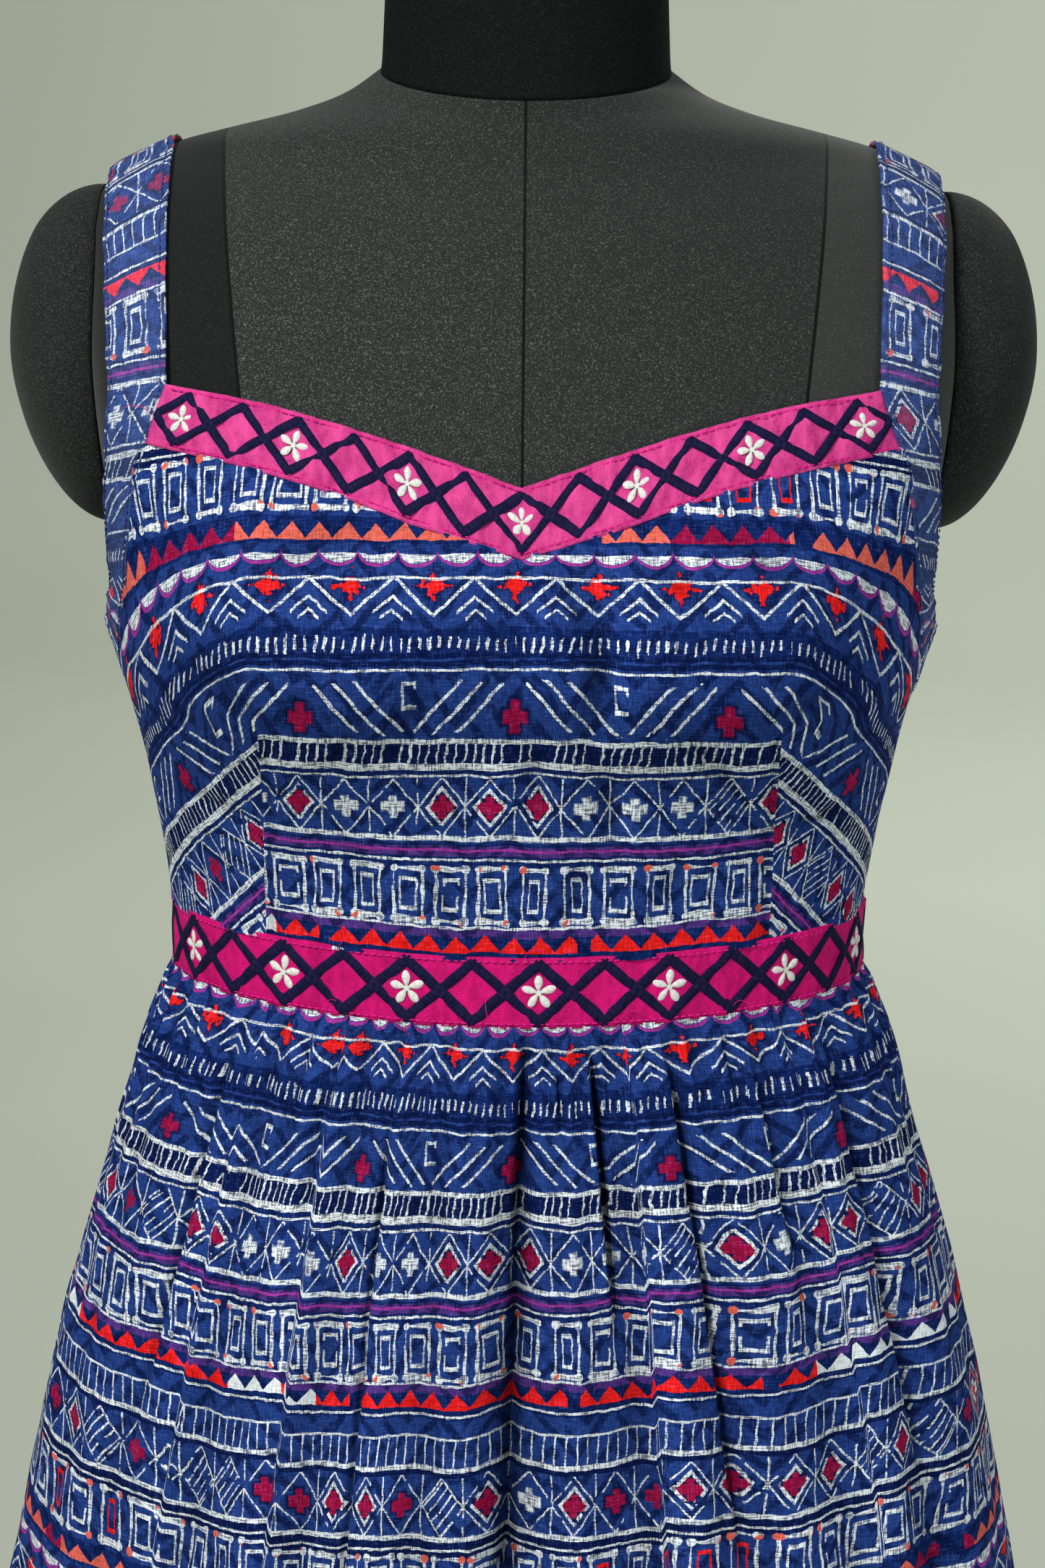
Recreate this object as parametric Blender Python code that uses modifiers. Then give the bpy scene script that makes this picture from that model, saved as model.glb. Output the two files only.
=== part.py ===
"""Strappy dress on a limbless dress form with a stand.

The figure is a stack of rounded sections. Every bodice piece is a patch of that
surface moved out by the cloth's slack, and the skirt hangs from its own sections
with gathers and folds. Angles are measured round the figure in degrees: 0 is the
centre front, 90 the side towards +X and 180 the centre back. Lengths are metres.
"""

import math

import bmesh
import bpy
from mathutils import Vector

COLLECTION = "strappy_dress_on_form"

# Cloth
CLOTH_WALL = 0.0014
BAND_WALL = 0.0018
SEAM_GAP = 0.00048
FITTED_SLACK = 0.0028
RESTING_SLACK = 0.0014
SLACK_HEIGHTS = (1.225, 1.320)

# Waist and hem
WAIST_TOP = 1.0365
WAIST_BOTTOM = 1.0060
HEM = 0.400
WAIST_LIFT = 0.006
WAIST_LIFT_FADES = (0.850, 1.000, 1.042, 1.125)
SIDE_SEAM = 90.0
SEAM_HALF_TURN = 0.075
STRAP_SEAM_TURN = 0.13

# Bust
BUST_APART = 0.102
BUST_HEIGHT = 1.165
BUST_DEPTH = 0.0335
BUST_SIDE_REACH = 0.046
BUST_UP_REACH = 0.064
BUST_DOWN_REACH = 0.055
BUST_BRIDGE = 0.42

# Straps and armholes
UNDERARM_LOW = 1.130
UNDERARM_HIGH = 1.157
UNDERARM_TURN = 1.190
UNDERARM_FLARE = 0.0045
UNDERARM_ANGLES = (90.0, 84.0, 78.0, 72.0, 66.5)
STRAP_TOP_INNER = (0.1480, 1.3680)
STRAP_TOP_OUTER = (0.1750, 1.3540)
STRAP_RISE = (14.0, 28.0, 42.0, 54.0, 64.0, 73.0, 82.0, 90.0)
STRAP_STRIPS = 2

# Dress form
NECK_TILT = 0.0115
NECK_TILT_HEIGHTS = (1.370, 1.398)
NECK_TOP = 1.476
TORSO_COLUMNS = 42
CAP_CENTRE = 1.2770
CAP_HALF_HEIGHT = 0.0725
CAP_HALF_DEPTH = 0.056
CAP_BULGE = 0.0352
CAP_RINGS = 6
CAP_GAP = 0.0008
CAP_SPOKES = 24

# Stand
POLE_RADIUS = 0.016
COLLAR_RADIUS = 0.034
COLLAR_HEIGHT = 0.024
BASE_RADIUS = 0.190
BASE_HEIGHT = 0.018
BASE_EDGE = 0.004
PART_GAP = 0.0003

# height, half width, front depth, back depth, squareness
FIGURE = (
    (0.720, 0.1740, 0.107, 0.117, 2.20),
    (0.760, 0.1780, 0.110, 0.122, 2.20),
    (0.850, 0.1780, 0.112, 0.126, 2.20),
    (0.900, 0.1720, 0.111, 0.122, 2.20),
    (0.946, 0.1620, 0.109, 0.112, 2.20),
    (0.976, 0.1540, 0.107, 0.103, 2.20),
    (1.006, 0.1485, 0.105, 0.097, 2.25),
    (1.030, 0.1480, 0.104, 0.095, 2.30),
    (1.049, 0.1495, 0.105, 0.095, 2.30),
    (1.078, 0.1540, 0.107, 0.098, 2.35),
    (1.098, 0.1580, 0.109, 0.101, 2.40),
    (1.130, 0.1650, 0.113, 0.106, 2.60),
    (1.157, 0.1710, 0.116, 0.109, 2.90),
    (1.190, 0.1735, 0.115, 0.111, 3.40),
    (1.215, 0.1760, 0.112, 0.112, 3.80),
    (1.250, 0.1805, 0.106, 0.111, 4.30),
    (1.280, 0.1835, 0.100, 0.108, 4.40),
    (1.305, 0.1840, 0.094, 0.104, 4.00),
    (1.330, 0.1840, 0.085, 0.097, 3.30),
    (1.344, 0.1820, 0.077, 0.090, 2.70),
    (1.354, 0.1750, 0.070, 0.084, 2.30),
    (1.361, 0.1630, 0.066, 0.080, 2.10),
    (1.368, 0.1480, 0.063, 0.077, 2.00),
    (1.3745, 0.1240, 0.061, 0.074, 2.00),
    (1.381, 0.0980, 0.0595, 0.0715, 2.00),
    (1.388, 0.0780, 0.0585, 0.0695, 2.00),
    (1.398, 0.0620, 0.0580, 0.0680, 2.00),
)

# height, half width, front depth, back depth, squareness
SKIRT = (
    (0.400, 0.2700, 0.232, 0.240, 2.00),
    (0.500, 0.2580, 0.216, 0.226, 2.00),
    (0.600, 0.2440, 0.198, 0.211, 2.00),
    (0.720, 0.2230, 0.174, 0.190, 2.02),
    (0.790, 0.2100, 0.160, 0.176, 2.05),
    (0.850, 0.1980, 0.147, 0.163, 2.10),
    (0.890, 0.1870, 0.139, 0.152, 2.12),
    (0.946, 0.1700, 0.125, 0.131, 2.15),
    (0.976, 0.1610, 0.116, 0.115, 2.20),
    (0.994, 0.1535, 0.1092, 0.1028, 2.22),
    (1.001, 0.1512, 0.1077, 0.0997, 2.25),
    (1.006, 0.1512, 0.1077, 0.0997, 2.25),
)

# share of the half width, height of the upper edge, height of the lower edge
NECK_EDGES = (
    (0.00, 1.2320, 1.2044),
    (0.25, 1.2445, 1.2158),
    (0.50, 1.2560, 1.2292),
    (0.75, 1.2654, 1.2396),
    (1.00, 1.2716, 1.2475),
)

# share of the half width, height of the upper edge at the back
BACK_EDGE = (
    (0.00, 1.2280),
    (0.50, 1.2340),
    (1.00, 1.2475),
)

# height, inner edge from the centre, outer edge from the centre
STRAP_EDGES = (
    (1.1900, 0.1605, 0.1702),
    (1.2100, 0.1592, 0.1708),
    (1.2285, 0.1565, 0.1702),
    (1.2475, 0.1520, 0.1694),
    (1.2595, 0.1484, 0.1688),
    (1.2716, 0.1445, 0.1684),
)

# angle, spread on the near side, spread on the far side, depth at the waist, depth at the hem
FOLDS = (
    (-66.0, 14.0, 5.0, 0.0020, 0.020),
    (-54.0, 11.0, 5.0, 0.0030, 0.017),
    (-37.0, 9.0, 3.6, 0.0045, 0.019),
    (-21.0, 5.6, 5.0, 0.0008, 0.012),
    (-7.5, 5.5, 5.0, 0.0036, 0.018),
    (9.0, 5.0, 5.5, 0.0022, 0.014),
    (25.0, 4.4, 5.6, 0.0046, 0.019),
    (41.0, 4.4, 6.2, 0.0014, 0.014),
    (56.0, 4.4, 5.0, 0.0032, 0.017),
    (70.0, 5.0, 8.0, 0.0025, 0.019),
    (84.0, 10.0, 10.0, 0.0015, 0.014),
    (101.0, 12.0, 6.0, 0.0025, 0.018),
    (118.0, 9.0, 9.0, 0.0020, 0.015),
    (136.0, 7.0, 12.0, 0.0035, 0.019),
    (153.0, 11.0, 7.0, 0.0020, 0.014),
    (171.0, 8.0, 12.0, 0.0030, 0.018),
    (190.0, 12.0, 7.0, 0.0020, 0.015),
    (207.0, 7.0, 11.0, 0.0035, 0.019),
    (226.0, 10.0, 8.0, 0.0020, 0.014),
    (244.0, 12.0, 6.0, 0.0030, 0.018),
    (262.0, 9.0, 10.0, 0.0020, 0.015),
    (279.0, 10.0, 8.0, 0.0015, 0.013),
)

FOLD_GROWTH = 1.2
GATHERS = 64
GATHER_DEPTH = 0.0034
GATHER_FADE = 0.100
GATHER_START = 0.009

# height, columns in half the skirt
SKIRT_ROWS = (
    (1.0049, 128),
    (0.9990, 128),
    (0.9820, 128),
    (0.9600, 128),
    (0.9280, 64),
    (0.8820, 64),
    (0.8240, 64),
    (0.7440, 64),
    (0.6440, 64),
    (0.5240, 64),
    (0.4000, 64),
)

# height of each row of the torso
TORSO_ROWS = (
    0.720, 0.724, 0.780, 0.850, 0.920, 0.976, 1.018, 1.056, 1.090, 1.115, 1.138,
    1.158, 1.178, 1.202, 1.232, 1.264, 1.294, 1.316, 1.334, 1.347, 1.357, 1.366,
    1.374, 1.382, 1.390, 1.398,
)

# node, base colour, roughness
FINISHES = (
    ("bodice_front", (0.045, 0.085, 0.330), 0.85),
    ("bodice_back", (0.045, 0.085, 0.330), 0.85),
    ("neck_band", (0.720, 0.015, 0.230), 0.75),
    ("strap_left", (0.045, 0.085, 0.330), 0.85),
    ("strap_right", (0.045, 0.085, 0.330), 0.85),
    ("waistband_front", (0.720, 0.015, 0.230), 0.75),
    ("waistband_back", (0.720, 0.015, 0.230), 0.75),
    ("skirt_front", (0.045, 0.085, 0.330), 0.85),
    ("skirt_back", (0.045, 0.085, 0.330), 0.85),
    ("form_torso", (0.018, 0.020, 0.021), 0.90),
    ("form_neck", (0.018, 0.020, 0.021), 0.90),
    ("form_cap_left", (0.016, 0.018, 0.019), 0.90),
    ("form_cap_right", (0.016, 0.018, 0.019), 0.90),
    ("stand_pole", (0.020, 0.020, 0.021), 0.40),
    ("stand_base", (0.020, 0.020, 0.021), 0.45),
)


def smooth_step(low, high, value):
    """0 below low, 1 above high, eased between."""
    t = min(1.0, max(0.0, (value - low) / (high - low)))
    return t * t * (3.0 - 2.0 * t)


def slopes(table, column):
    """Slopes at the rows of a table that never overshoot between two rows."""
    steps = []
    for low, high in zip(table, table[1:]):
        steps.append((high[column] - low[column]) / (high[0] - low[0]))
    found = [steps[0]]
    for before, after in zip(steps, steps[1:]):
        level = before * after <= 0.0
        found.append(0.0 if level else 2.0 * before * after / (before + after))
    found.append(steps[-1])
    return found


def smooth_columns(table):
    """The table with the slopes of each of its columns."""
    return table, [slopes(table, column) for column in range(1, len(table[0]))]


def read_table(smooth, key):
    """The values of every column at key, on smooth curves through the rows."""
    table, column_slopes = smooth
    key = min(table[-1][0], max(table[0][0], key))
    row = 0
    while row < len(table) - 2 and table[row + 1][0] < key:
        row += 1
    low, high = table[row], table[row + 1]
    width = high[0] - low[0]
    t = (key - low[0]) / width
    values = []
    for column, rates in enumerate(column_slopes, 1):
        start, end = low[column], high[column]
        value = start * (1 + 2 * t) * (1 - t) ** 2
        value += end * t * t * (3 - 2 * t)
        value += rates[row] * width * t * (1 - t) ** 2
        value -= rates[row + 1] * width * t * t * (1 - t)
        values.append(value)
    return values


FIGURE_CURVES = smooth_columns(FIGURE)
SKIRT_CURVES = smooth_columns(SKIRT)
NECK_CURVES = smooth_columns(NECK_EDGES)
BACK_CURVES = smooth_columns(BACK_EDGE)
STRAP_CURVES = smooth_columns(STRAP_EDGES)


def section_radius(section, angle):
    """Distance from the axis to a rounded section at an angle in degrees."""
    half, front, back, square = section
    side = abs(math.sin(math.radians(angle)))
    ahead = math.cos(math.radians(angle))
    depth = front if ahead > 0 else back
    total = (side / half) ** square + (abs(ahead) / depth) ** square
    return total ** (-1.0 / square)


def bust_push(x, height):
    """How far the bust stands forward at a place across the front."""
    apart = abs(x)
    if apart < BUST_APART:
        across = 1.0 - BUST_BRIDGE * (1.0 - apart / BUST_APART) ** 2
    else:
        across = math.exp(-(((apart - BUST_APART) / BUST_SIDE_REACH) ** 2))
    rise = height - BUST_HEIGHT
    reach = BUST_UP_REACH if rise > 0 else BUST_DOWN_REACH
    return BUST_DEPTH * across * math.exp(-((rise / reach) ** 2))


def figure_point(angle, height):
    """A point on the figure's surface."""
    turn = math.radians(angle)
    radius = section_radius(read_table(FIGURE_CURVES, height), angle)
    x = radius * math.sin(turn)
    y = -radius * math.cos(turn)
    y -= bust_push(x, height) * smooth_step(0.0, 0.5, math.cos(turn))
    tilt = smooth_step(*NECK_TILT_HEIGHTS, height) * NECK_TILT
    return Vector((x, y, height - tilt * math.cos(turn)))


def figure_normal(angle, height):
    """The direction straight out of the figure."""
    across = figure_point(angle + 0.3, height) - figure_point(angle - 0.3, height)
    upward = figure_point(angle, height + 0.0008) - figure_point(angle, height - 0.0008)
    return across.cross(upward).normalized()


def slack(height):
    """How far the inside of the cloth is from the figure."""
    resting = smooth_step(*SLACK_HEIGHTS, height)
    return FITTED_SLACK + (RESTING_SLACK - FITTED_SLACK) * resting


def cloth_point(angle, height, more=0.0):
    """A point on the inside of a fitted piece."""
    out = slack(height) + more
    return figure_point(angle, height) + figure_normal(angle, height) * out


def lifted(angle, height):
    """The height of a place, where the waist runs higher at the sides and back than in front."""
    low, level, top, high = WAIST_LIFT_FADES
    near = smooth_step(low, level, height) * (1.0 - smooth_step(top, high, height))
    turned_away = 1.0 if math.cos(math.radians(angle)) < 0 else math.sin(math.radians(angle)) ** 2
    return height + WAIST_LIFT * turned_away * near


def angle_at(x, height, back=False):
    """The angle at which the figure's section is x from the centre."""
    low, high = 0.0, 90.0
    section = read_table(FIGURE_CURVES, height)
    for _ in range(40):
        middle = (low + high) / 2
        angle = 180.0 - middle if back else middle
        found = section_radius(section, angle) * math.sin(math.radians(middle))
        if found < x:
            low = middle
        else:
            high = middle
    return 180.0 - low if back else low


def strap_edge_places(back):
    """(inner, outer) places as angle and height, from the underarm up to the shoulder."""
    turn_inner = angle_at(STRAP_EDGES[0][1], UNDERARM_TURN, back)
    turn_outer = angle_at(STRAP_EDGES[0][2], UNDERARM_TURN, back)
    places = []
    for front_angle in UNDERARM_ANGLES:
        angle = 180.0 - front_angle if back else front_angle
        share = (angle - 90.0) / (turn_inner - 90.0)
        bend = share ** 1.8
        inner = (angle, UNDERARM_LOW + (UNDERARM_TURN - UNDERARM_LOW) * bend)
        outer_angle = 90.0 + (turn_outer - 90.0) * share
        outer = (outer_angle, UNDERARM_HIGH + (UNDERARM_TURN - UNDERARM_HIGH) * bend)
        places.append((inner, outer))
    for height, inner_x, outer_x in STRAP_EDGES:
        inner = (angle_at(inner_x, height, back), height)
        outer = (angle_at(outer_x, height, back), height)
        places.append((inner, outer))
    start = STRAP_EDGES[-1]
    for rise in STRAP_RISE:
        climb = math.sin(math.radians(rise))
        pair = []
        for begin_x, (top_x, top_height) in ((start[1], STRAP_TOP_INNER), (start[2], STRAP_TOP_OUTER)):
            height = start[0] + (top_height - start[0]) * climb
            x = begin_x + (top_x - begin_x) * climb
            pair.append((90.0 if rise == 90.0 else angle_at(x, height, back), height))
        places.append(tuple(pair))
    return places


def new_mesh(name, build):
    """A mesh filled by build(bm)."""
    mesh = bpy.data.meshes.new(name)
    bm = bmesh.new()
    build(bm)
    bm.to_mesh(mesh)
    bm.free()
    return mesh


def join_rows(bm, rows, closed=False):
    """Faces between rows of points. A row may have half as many columns as the last."""
    lines = [[bm.verts.new(point) for point in row] for row in rows]
    for upper, lower in zip(lines, lines[1:]):
        if len(upper) == len(lower):
            pairs = range(len(upper) if closed else len(upper) - 1)
            for i in pairs:
                j = (i + 1) % len(upper)
                bm.faces.new((upper[i], lower[i], lower[j], upper[j]))
        else:
            for i in range(len(lower) - 1):
                bm.faces.new((upper[2 * i], lower[i], upper[2 * i + 1]))
                bm.faces.new((upper[2 * i + 1], lower[i], lower[i + 1]))
                bm.faces.new((upper[2 * i + 1], lower[i + 1], upper[2 * i + 2]))
    return lines


def material(name):
    """The finish of a node."""
    colour, roughness = next(row[1:] for row in FINISHES if row[0] == name)
    made = bpy.data.materials.new(name + "_finish")
    made.use_nodes = True
    surface = made.node_tree.nodes["Principled BSDF"]
    surface.inputs["Base Color"].default_value = (*colour, 1.0)
    surface.inputs["Roughness"].default_value = roughness
    return made


def add_object(name, mesh, collection):
    made = bpy.data.objects.new(name, mesh)
    mesh.materials.append(material(name))
    collection.objects.link(made)
    return made


def add_wall(name, rows, collection, wall=CLOTH_WALL, closed=False):
    """A cloth wall whose inside is the surface through the rows of points."""
    mesh = new_mesh(name, lambda bm: join_rows(bm, rows, closed))
    made = add_object(name, mesh, collection)
    solid = made.modifiers.new("wall", "SOLIDIFY")
    solid.thickness = wall
    solid.offset = 1.0
    solid.use_even_offset = True
    return made


def panel_rows(edge, back):
    """Rows of a bodice panel from its upper edge to the waist.

    The ends of the upper rows follow the strap's inner edge, and those below run
    down the side seam.
    """
    places = [inner for inner, _ in strap_edge_places(back)]
    corner = len(UNDERARM_ANGLES) + 3
    seam = [(180.0 - a if back else a, h) for a, h in places[:corner + 1]]
    last = SIDE_SEAM - STRAP_SEAM_TURN
    ends = []
    for angle, height in reversed(seam):
        ends.append((min(last, angle - STRAP_SEAM_TURN), height - SEAM_GAP))
    side_low = WAIST_TOP + SEAM_GAP
    for step in range(1, 6):
        share = step / 5
        ends.append((last, ends[len(seam) - 1][1] * (1 - share) + side_low * share))
    top = read_table(edge, 0.0)[-1] - SEAM_GAP
    columns = 28 if back else 34
    shares = [abs(2 * i / columns - 1) for i in range(columns + 1)]
    signs = [-1 if i * 2 < columns else 1 for i in range(columns + 1)]
    corner_x = STRAP_EDGES[3][1]
    spread = []
    for share in shares:
        height = read_table(edge, share)[-1]
        angle = angle_at(share * corner_x, height, back)
        spread.append(180.0 - angle if back else angle)
    rise = [(read_table(edge, share)[-1] - read_table(edge, 0.0)[-1]) for share in shares]
    full = read_table(edge, 1.0)[-1] - read_table(edge, 0.0)[-1]
    lengths = [0.0]
    for (a0, h0), (a1, h1) in zip(ends, ends[1:]):
        step = (figure_point(a1, h1) - figure_point(a0, h0)).length
        lengths.append(lengths[-1] + step)
    rows = []
    for (end_angle, end_height), run in zip(ends, lengths):
        share_down = run / lengths[-1]
        middle = top + (side_low - top) * share_down
        row = []
        for i in range(columns + 1):
            angle = signs[i] * end_angle * spread[i] / spread[0]
            if back:
                angle = 180.0 + angle
            height = middle + (end_height - middle) * rise[i] / full
            row.append(cloth_point(angle, lifted(angle, height)))
        rows.append(row)
    return rows


def neck_band_rows():
    """Rows of the V-shaped band along the front neckline, from its upper edge down."""
    columns = 34
    low_x = STRAP_EDGES[3][1]
    high_x = STRAP_EDGES[5][1]
    rows = []
    for strip in range(3):
        down = strip / 2
        row = []
        for i in range(columns + 1):
            place = 2 * i / columns - 1
            high, low = read_table(NECK_CURVES, abs(place))
            height = high + (low - high) * down
            x = abs(place) * (high_x + (low_x - high_x) * down)
            angle = angle_at(x, height) - STRAP_SEAM_TURN * abs(place)
            row.append(cloth_point(math.copysign(angle, place), height))
        rows.append(row)
    return rows


def strap_rows(side):
    """Rows across a strap, in a ring under the arm and over the shoulder."""
    front = strap_edge_places(False)
    back = strap_edge_places(True)
    ring = front + back[-2:0:-1]
    rows = []
    for strip in range(STRAP_STRIPS + 1):
        share = strip / STRAP_STRIPS
        row = []
        for inner, outer in ring:
            angle = inner[0] + (outer[0] - inner[0]) * share
            height = inner[1] + (outer[1] - inner[1]) * share
            low = 1.0 - smooth_step(UNDERARM_HIGH, UNDERARM_TURN, height)
            point = cloth_point(angle, height, UNDERARM_FLARE * share * share * low)
            row.append(Vector((point.x * side, point.y, point.z)))
        rows.append(row)
    return rows if side > 0 else rows[::-1]


def waistband_rows(back):
    """Rows of half the waistband, from its upper edge down."""
    span = SIDE_SEAM - SEAM_HALF_TURN
    columns = 36
    rows = []
    for strip in range(3):
        height = WAIST_TOP + (WAIST_BOTTOM - WAIST_TOP) * strip / 2
        row = []
        for i in range(columns + 1):
            angle = span * (2 * i / columns - 1) + (180.0 if back else 0.0)
            row.append(cloth_point(angle, lifted(angle, height)))
        rows.append(row)
    return rows


def fold_depth(angle, height):
    """How far the skirt's folds and gathers stand out."""
    drop = WAIST_BOTTOM - height
    share = min(1.0, drop / (WAIST_BOTTOM - HEM))
    opened = smooth_step(0.0, GATHER_START, drop)
    depth = 0.0
    for place, near, far, at_waist, at_hem in FOLDS:
        apart = (angle - place + 180.0) % 360.0 - 180.0
        spread = near if apart < 0 else far
        if abs(apart) < spread * 1.6:
            shape = math.cos(math.pi * apart / spread / 3.2) ** 2
            depth += shape * (at_waist + (at_hem - at_waist) * share ** FOLD_GROWTH) * opened
    turn = math.radians(angle)
    wave = turn + 0.012 * math.sin(5 * turn + 1.0) + 0.008 * math.sin(11 * turn)
    uneven = 0.75 + 0.25 * math.sin(9 * turn + 0.7)
    fade = math.exp(-drop / GATHER_FADE)
    gather = 0.5 + 0.5 * math.cos(GATHERS * wave)
    start = 0.35 + 0.65 * opened
    return depth + GATHER_DEPTH * uneven * gather * fade * start


def skirt_point(angle, height):
    """A point on the inside of the skirt."""
    turn = math.radians(angle)
    radius = section_radius(read_table(SKIRT_CURVES, height), angle)
    radius += fold_depth(angle, height)
    height = lifted(angle, height)
    return Vector((radius * math.sin(turn), -radius * math.cos(turn), height))


def skirt_rows(back):
    """Rows of half the skirt, from the waist seam down to the hem."""
    span = SIDE_SEAM - SEAM_HALF_TURN
    middle = 180.0 if back else 0.0
    rows = []
    for height, columns in SKIRT_ROWS:
        row = []
        for i in range(columns + 1):
            row.append(skirt_point(middle + span * (2 * i / columns - 1), height))
        rows.append(row)
    return rows


def close_end(bm, ring, centre, upward):
    """A fan of faces that closes a ring of vertices."""
    middle = bm.verts.new(centre)
    for i, vertex in enumerate(ring):
        following = ring[(i + 1) % len(ring)]
        corners = (vertex, following, middle) if upward else (following, vertex, middle)
        bm.faces.new(corners)


def ring_points(height, lift=0.0):
    """The torso's section at a height."""
    step = 360.0 / TORSO_COLUMNS
    lifted = Vector((0.0, 0.0, lift))
    return [figure_point(i * step, height) + lifted for i in range(TORSO_COLUMNS)]


def make_torso(collection):
    def build(bm):
        rows = [ring_points(height) for height in reversed(TORSO_ROWS)]
        bottom = rows[-1]
        rows[-1] = [Vector((p.x * 0.965, p.y * 0.965, p.z)) for p in bottom]
        lines = join_rows(bm, rows, closed=True)
        close_end(bm, lines[0], Vector((0.0, 0.005, FIGURE[-1][0])), True)
        close_end(bm, lines[-1], Vector((0.0, 0.005, FIGURE[0][0])), False)
    add_object("form_torso", new_mesh("form_torso", build), collection)


def make_neck(collection):
    """The neck, from the seam on the torso up to a flat rounded top."""
    base = ring_points(FIGURE[-1][0], PART_GAP)
    # height, width at that height as a share of the seam, share of the seam's tilt
    profile = (
        (1.4120, 0.984, 0.72),
        (1.4400, 0.966, 0.20),
        (NECK_TOP - 0.003, 0.955, 0.0),
        (NECK_TOP, 0.920, 0.0),
    )

    def build(bm):
        rows = [base]
        for height, width, tilt in profile:
            row = []
            for point in base:
                y = 0.005 + (point.y - 0.005) * width
                z = height + (point.z - FIGURE[-1][0]) * tilt
                row.append(Vector((point.x * width, y, z)))
            rows.append(row)
        lines = join_rows(bm, rows[::-1], closed=True)
        close_end(bm, lines[0], Vector((0.0, 0.005, NECK_TOP)), True)
        close_end(bm, lines[-1], Vector((0.0, 0.005, FIGURE[-1][0] + PART_GAP)), False)
    add_object("form_neck", new_mesh("form_neck", build), collection)


def side_x(y, height):
    """How far the figure's side is from the centre at a depth y."""
    half, front, back, square = read_table(FIGURE_CURVES, height)
    depth = front if y < 0 else back
    return half * (1.0 - (abs(y) / depth) ** square) ** (1.0 / square)


def cap_point(ring, spoke, outside):
    """A point on the back or on the dome of the pad over an armhole."""
    reach = ring / CAP_RINGS
    turn = 2 * math.pi * spoke / CAP_SPOKES
    y = CAP_HALF_DEPTH * reach * math.cos(turn)
    height = CAP_CENTRE + CAP_HALF_HEIGHT * reach * math.sin(turn)
    x = side_x(y, height) + CAP_GAP + 0.0032 * (1.0 - reach ** 6)
    if outside:
        x += 0.002 + CAP_BULGE * math.sqrt(max(0.0, 1.0 - reach * reach))
    return x, y, height


def make_cap(name, side, collection):
    """The rounded pad that closes an armhole of the form."""
    def build(bm):
        rows = []
        for ring in range(CAP_RINGS):
            reach = CAP_RINGS * math.sin(math.pi / 2 * (ring + 1) / CAP_RINGS)
            rows.append([cap_point(reach, s, True) for s in range(CAP_SPOKES)])
        rows.append([cap_point(CAP_RINGS, s, False) for s in range(CAP_SPOKES)])
        for ring in range(4, 0, -2):
            rows.append([cap_point(ring, s, False) for s in range(CAP_SPOKES)])
        rows = [[Vector((x * side, y, z)) for x, y, z in row] for row in rows]
        lines = join_rows(bm, rows, closed=True)
        dome = Vector(cap_point(0, 0, True))
        inside = Vector(cap_point(0, 0, False))
        close_end(bm, lines[0], Vector((dome.x * side, dome.y, dome.z)), True)
        close_end(bm, lines[-1], Vector((inside.x * side, inside.y, inside.z)), False)
        bmesh.ops.recalc_face_normals(bm, faces=bm.faces)
    add_object(name, new_mesh(name, build), collection)


def turned(profile, segments):
    """A closed body turned round the vertical axis, from (radius, height) places."""
    def build(bm):
        rows = []
        for radius, height in profile:
            row = []
            for i in range(segments):
                turn = 2 * math.pi * i / segments
                row.append(Vector((radius * math.sin(turn), -radius * math.cos(turn), height)))
            rows.append(row)
        lines = join_rows(bm, rows, closed=True)
        close_end(bm, lines[0], Vector((0.0, 0.0, profile[0][1])), True)
        close_end(bm, lines[-1], Vector((0.0, 0.0, profile[-1][1])), False)
    return build


def make_stand(collection):
    """The pole with its collar under the torso, and the round base."""
    top = FIGURE[0][0] - PART_GAP
    pole = (
        (COLLAR_RADIUS - 0.002, top),
        (COLLAR_RADIUS, top - 0.002),
        (COLLAR_RADIUS, top - COLLAR_HEIGHT),
        (COLLAR_RADIUS - 0.003, top - COLLAR_HEIGHT - 0.003),
        (POLE_RADIUS, top - COLLAR_HEIGHT - 0.003),
        (POLE_RADIUS, BASE_HEIGHT + PART_GAP),
    )
    add_object("stand_pole", new_mesh("stand_pole", turned(pole, 20)), collection)
    base = (
        (POLE_RADIUS + 0.018, BASE_HEIGHT),
        (BASE_RADIUS - 0.030, BASE_HEIGHT - 0.003),
        (BASE_RADIUS - BASE_EDGE, BASE_HEIGHT - 0.006),
        (BASE_RADIUS, BASE_HEIGHT - 0.006 - BASE_EDGE),
        (BASE_RADIUS, 0.002),
        (BASE_RADIUS - 0.002, 0.0),
    )
    add_object("stand_base", new_mesh("stand_base", turned(base, 40)), collection)


def face_outwards():
    """Every face of the closed bodies points out."""
    for made in bpy.data.objects:
        if made.modifiers:
            continue
        bm = bmesh.new()
        bm.from_mesh(made.data)
        bmesh.ops.recalc_face_normals(bm, faces=bm.faces)
        bm.to_mesh(made.data)
        bm.free()


def centre_parts():
    """Moves everything so that the whole is centred over the origin."""
    graph = bpy.context.evaluated_depsgraph_get()
    lows = [math.inf, math.inf]
    highs = [-math.inf, -math.inf]
    for made in bpy.data.objects:
        shown = made.evaluated_get(graph)
        for vertex in shown.data.vertices:
            for axis in range(2):
                lows[axis] = min(lows[axis], vertex.co[axis])
                highs[axis] = max(highs[axis], vertex.co[axis])
    for made in bpy.data.objects:
        made.location.x = -(lows[0] + highs[0]) / 2
        made.location.y = -(lows[1] + highs[1]) / 2


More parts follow.
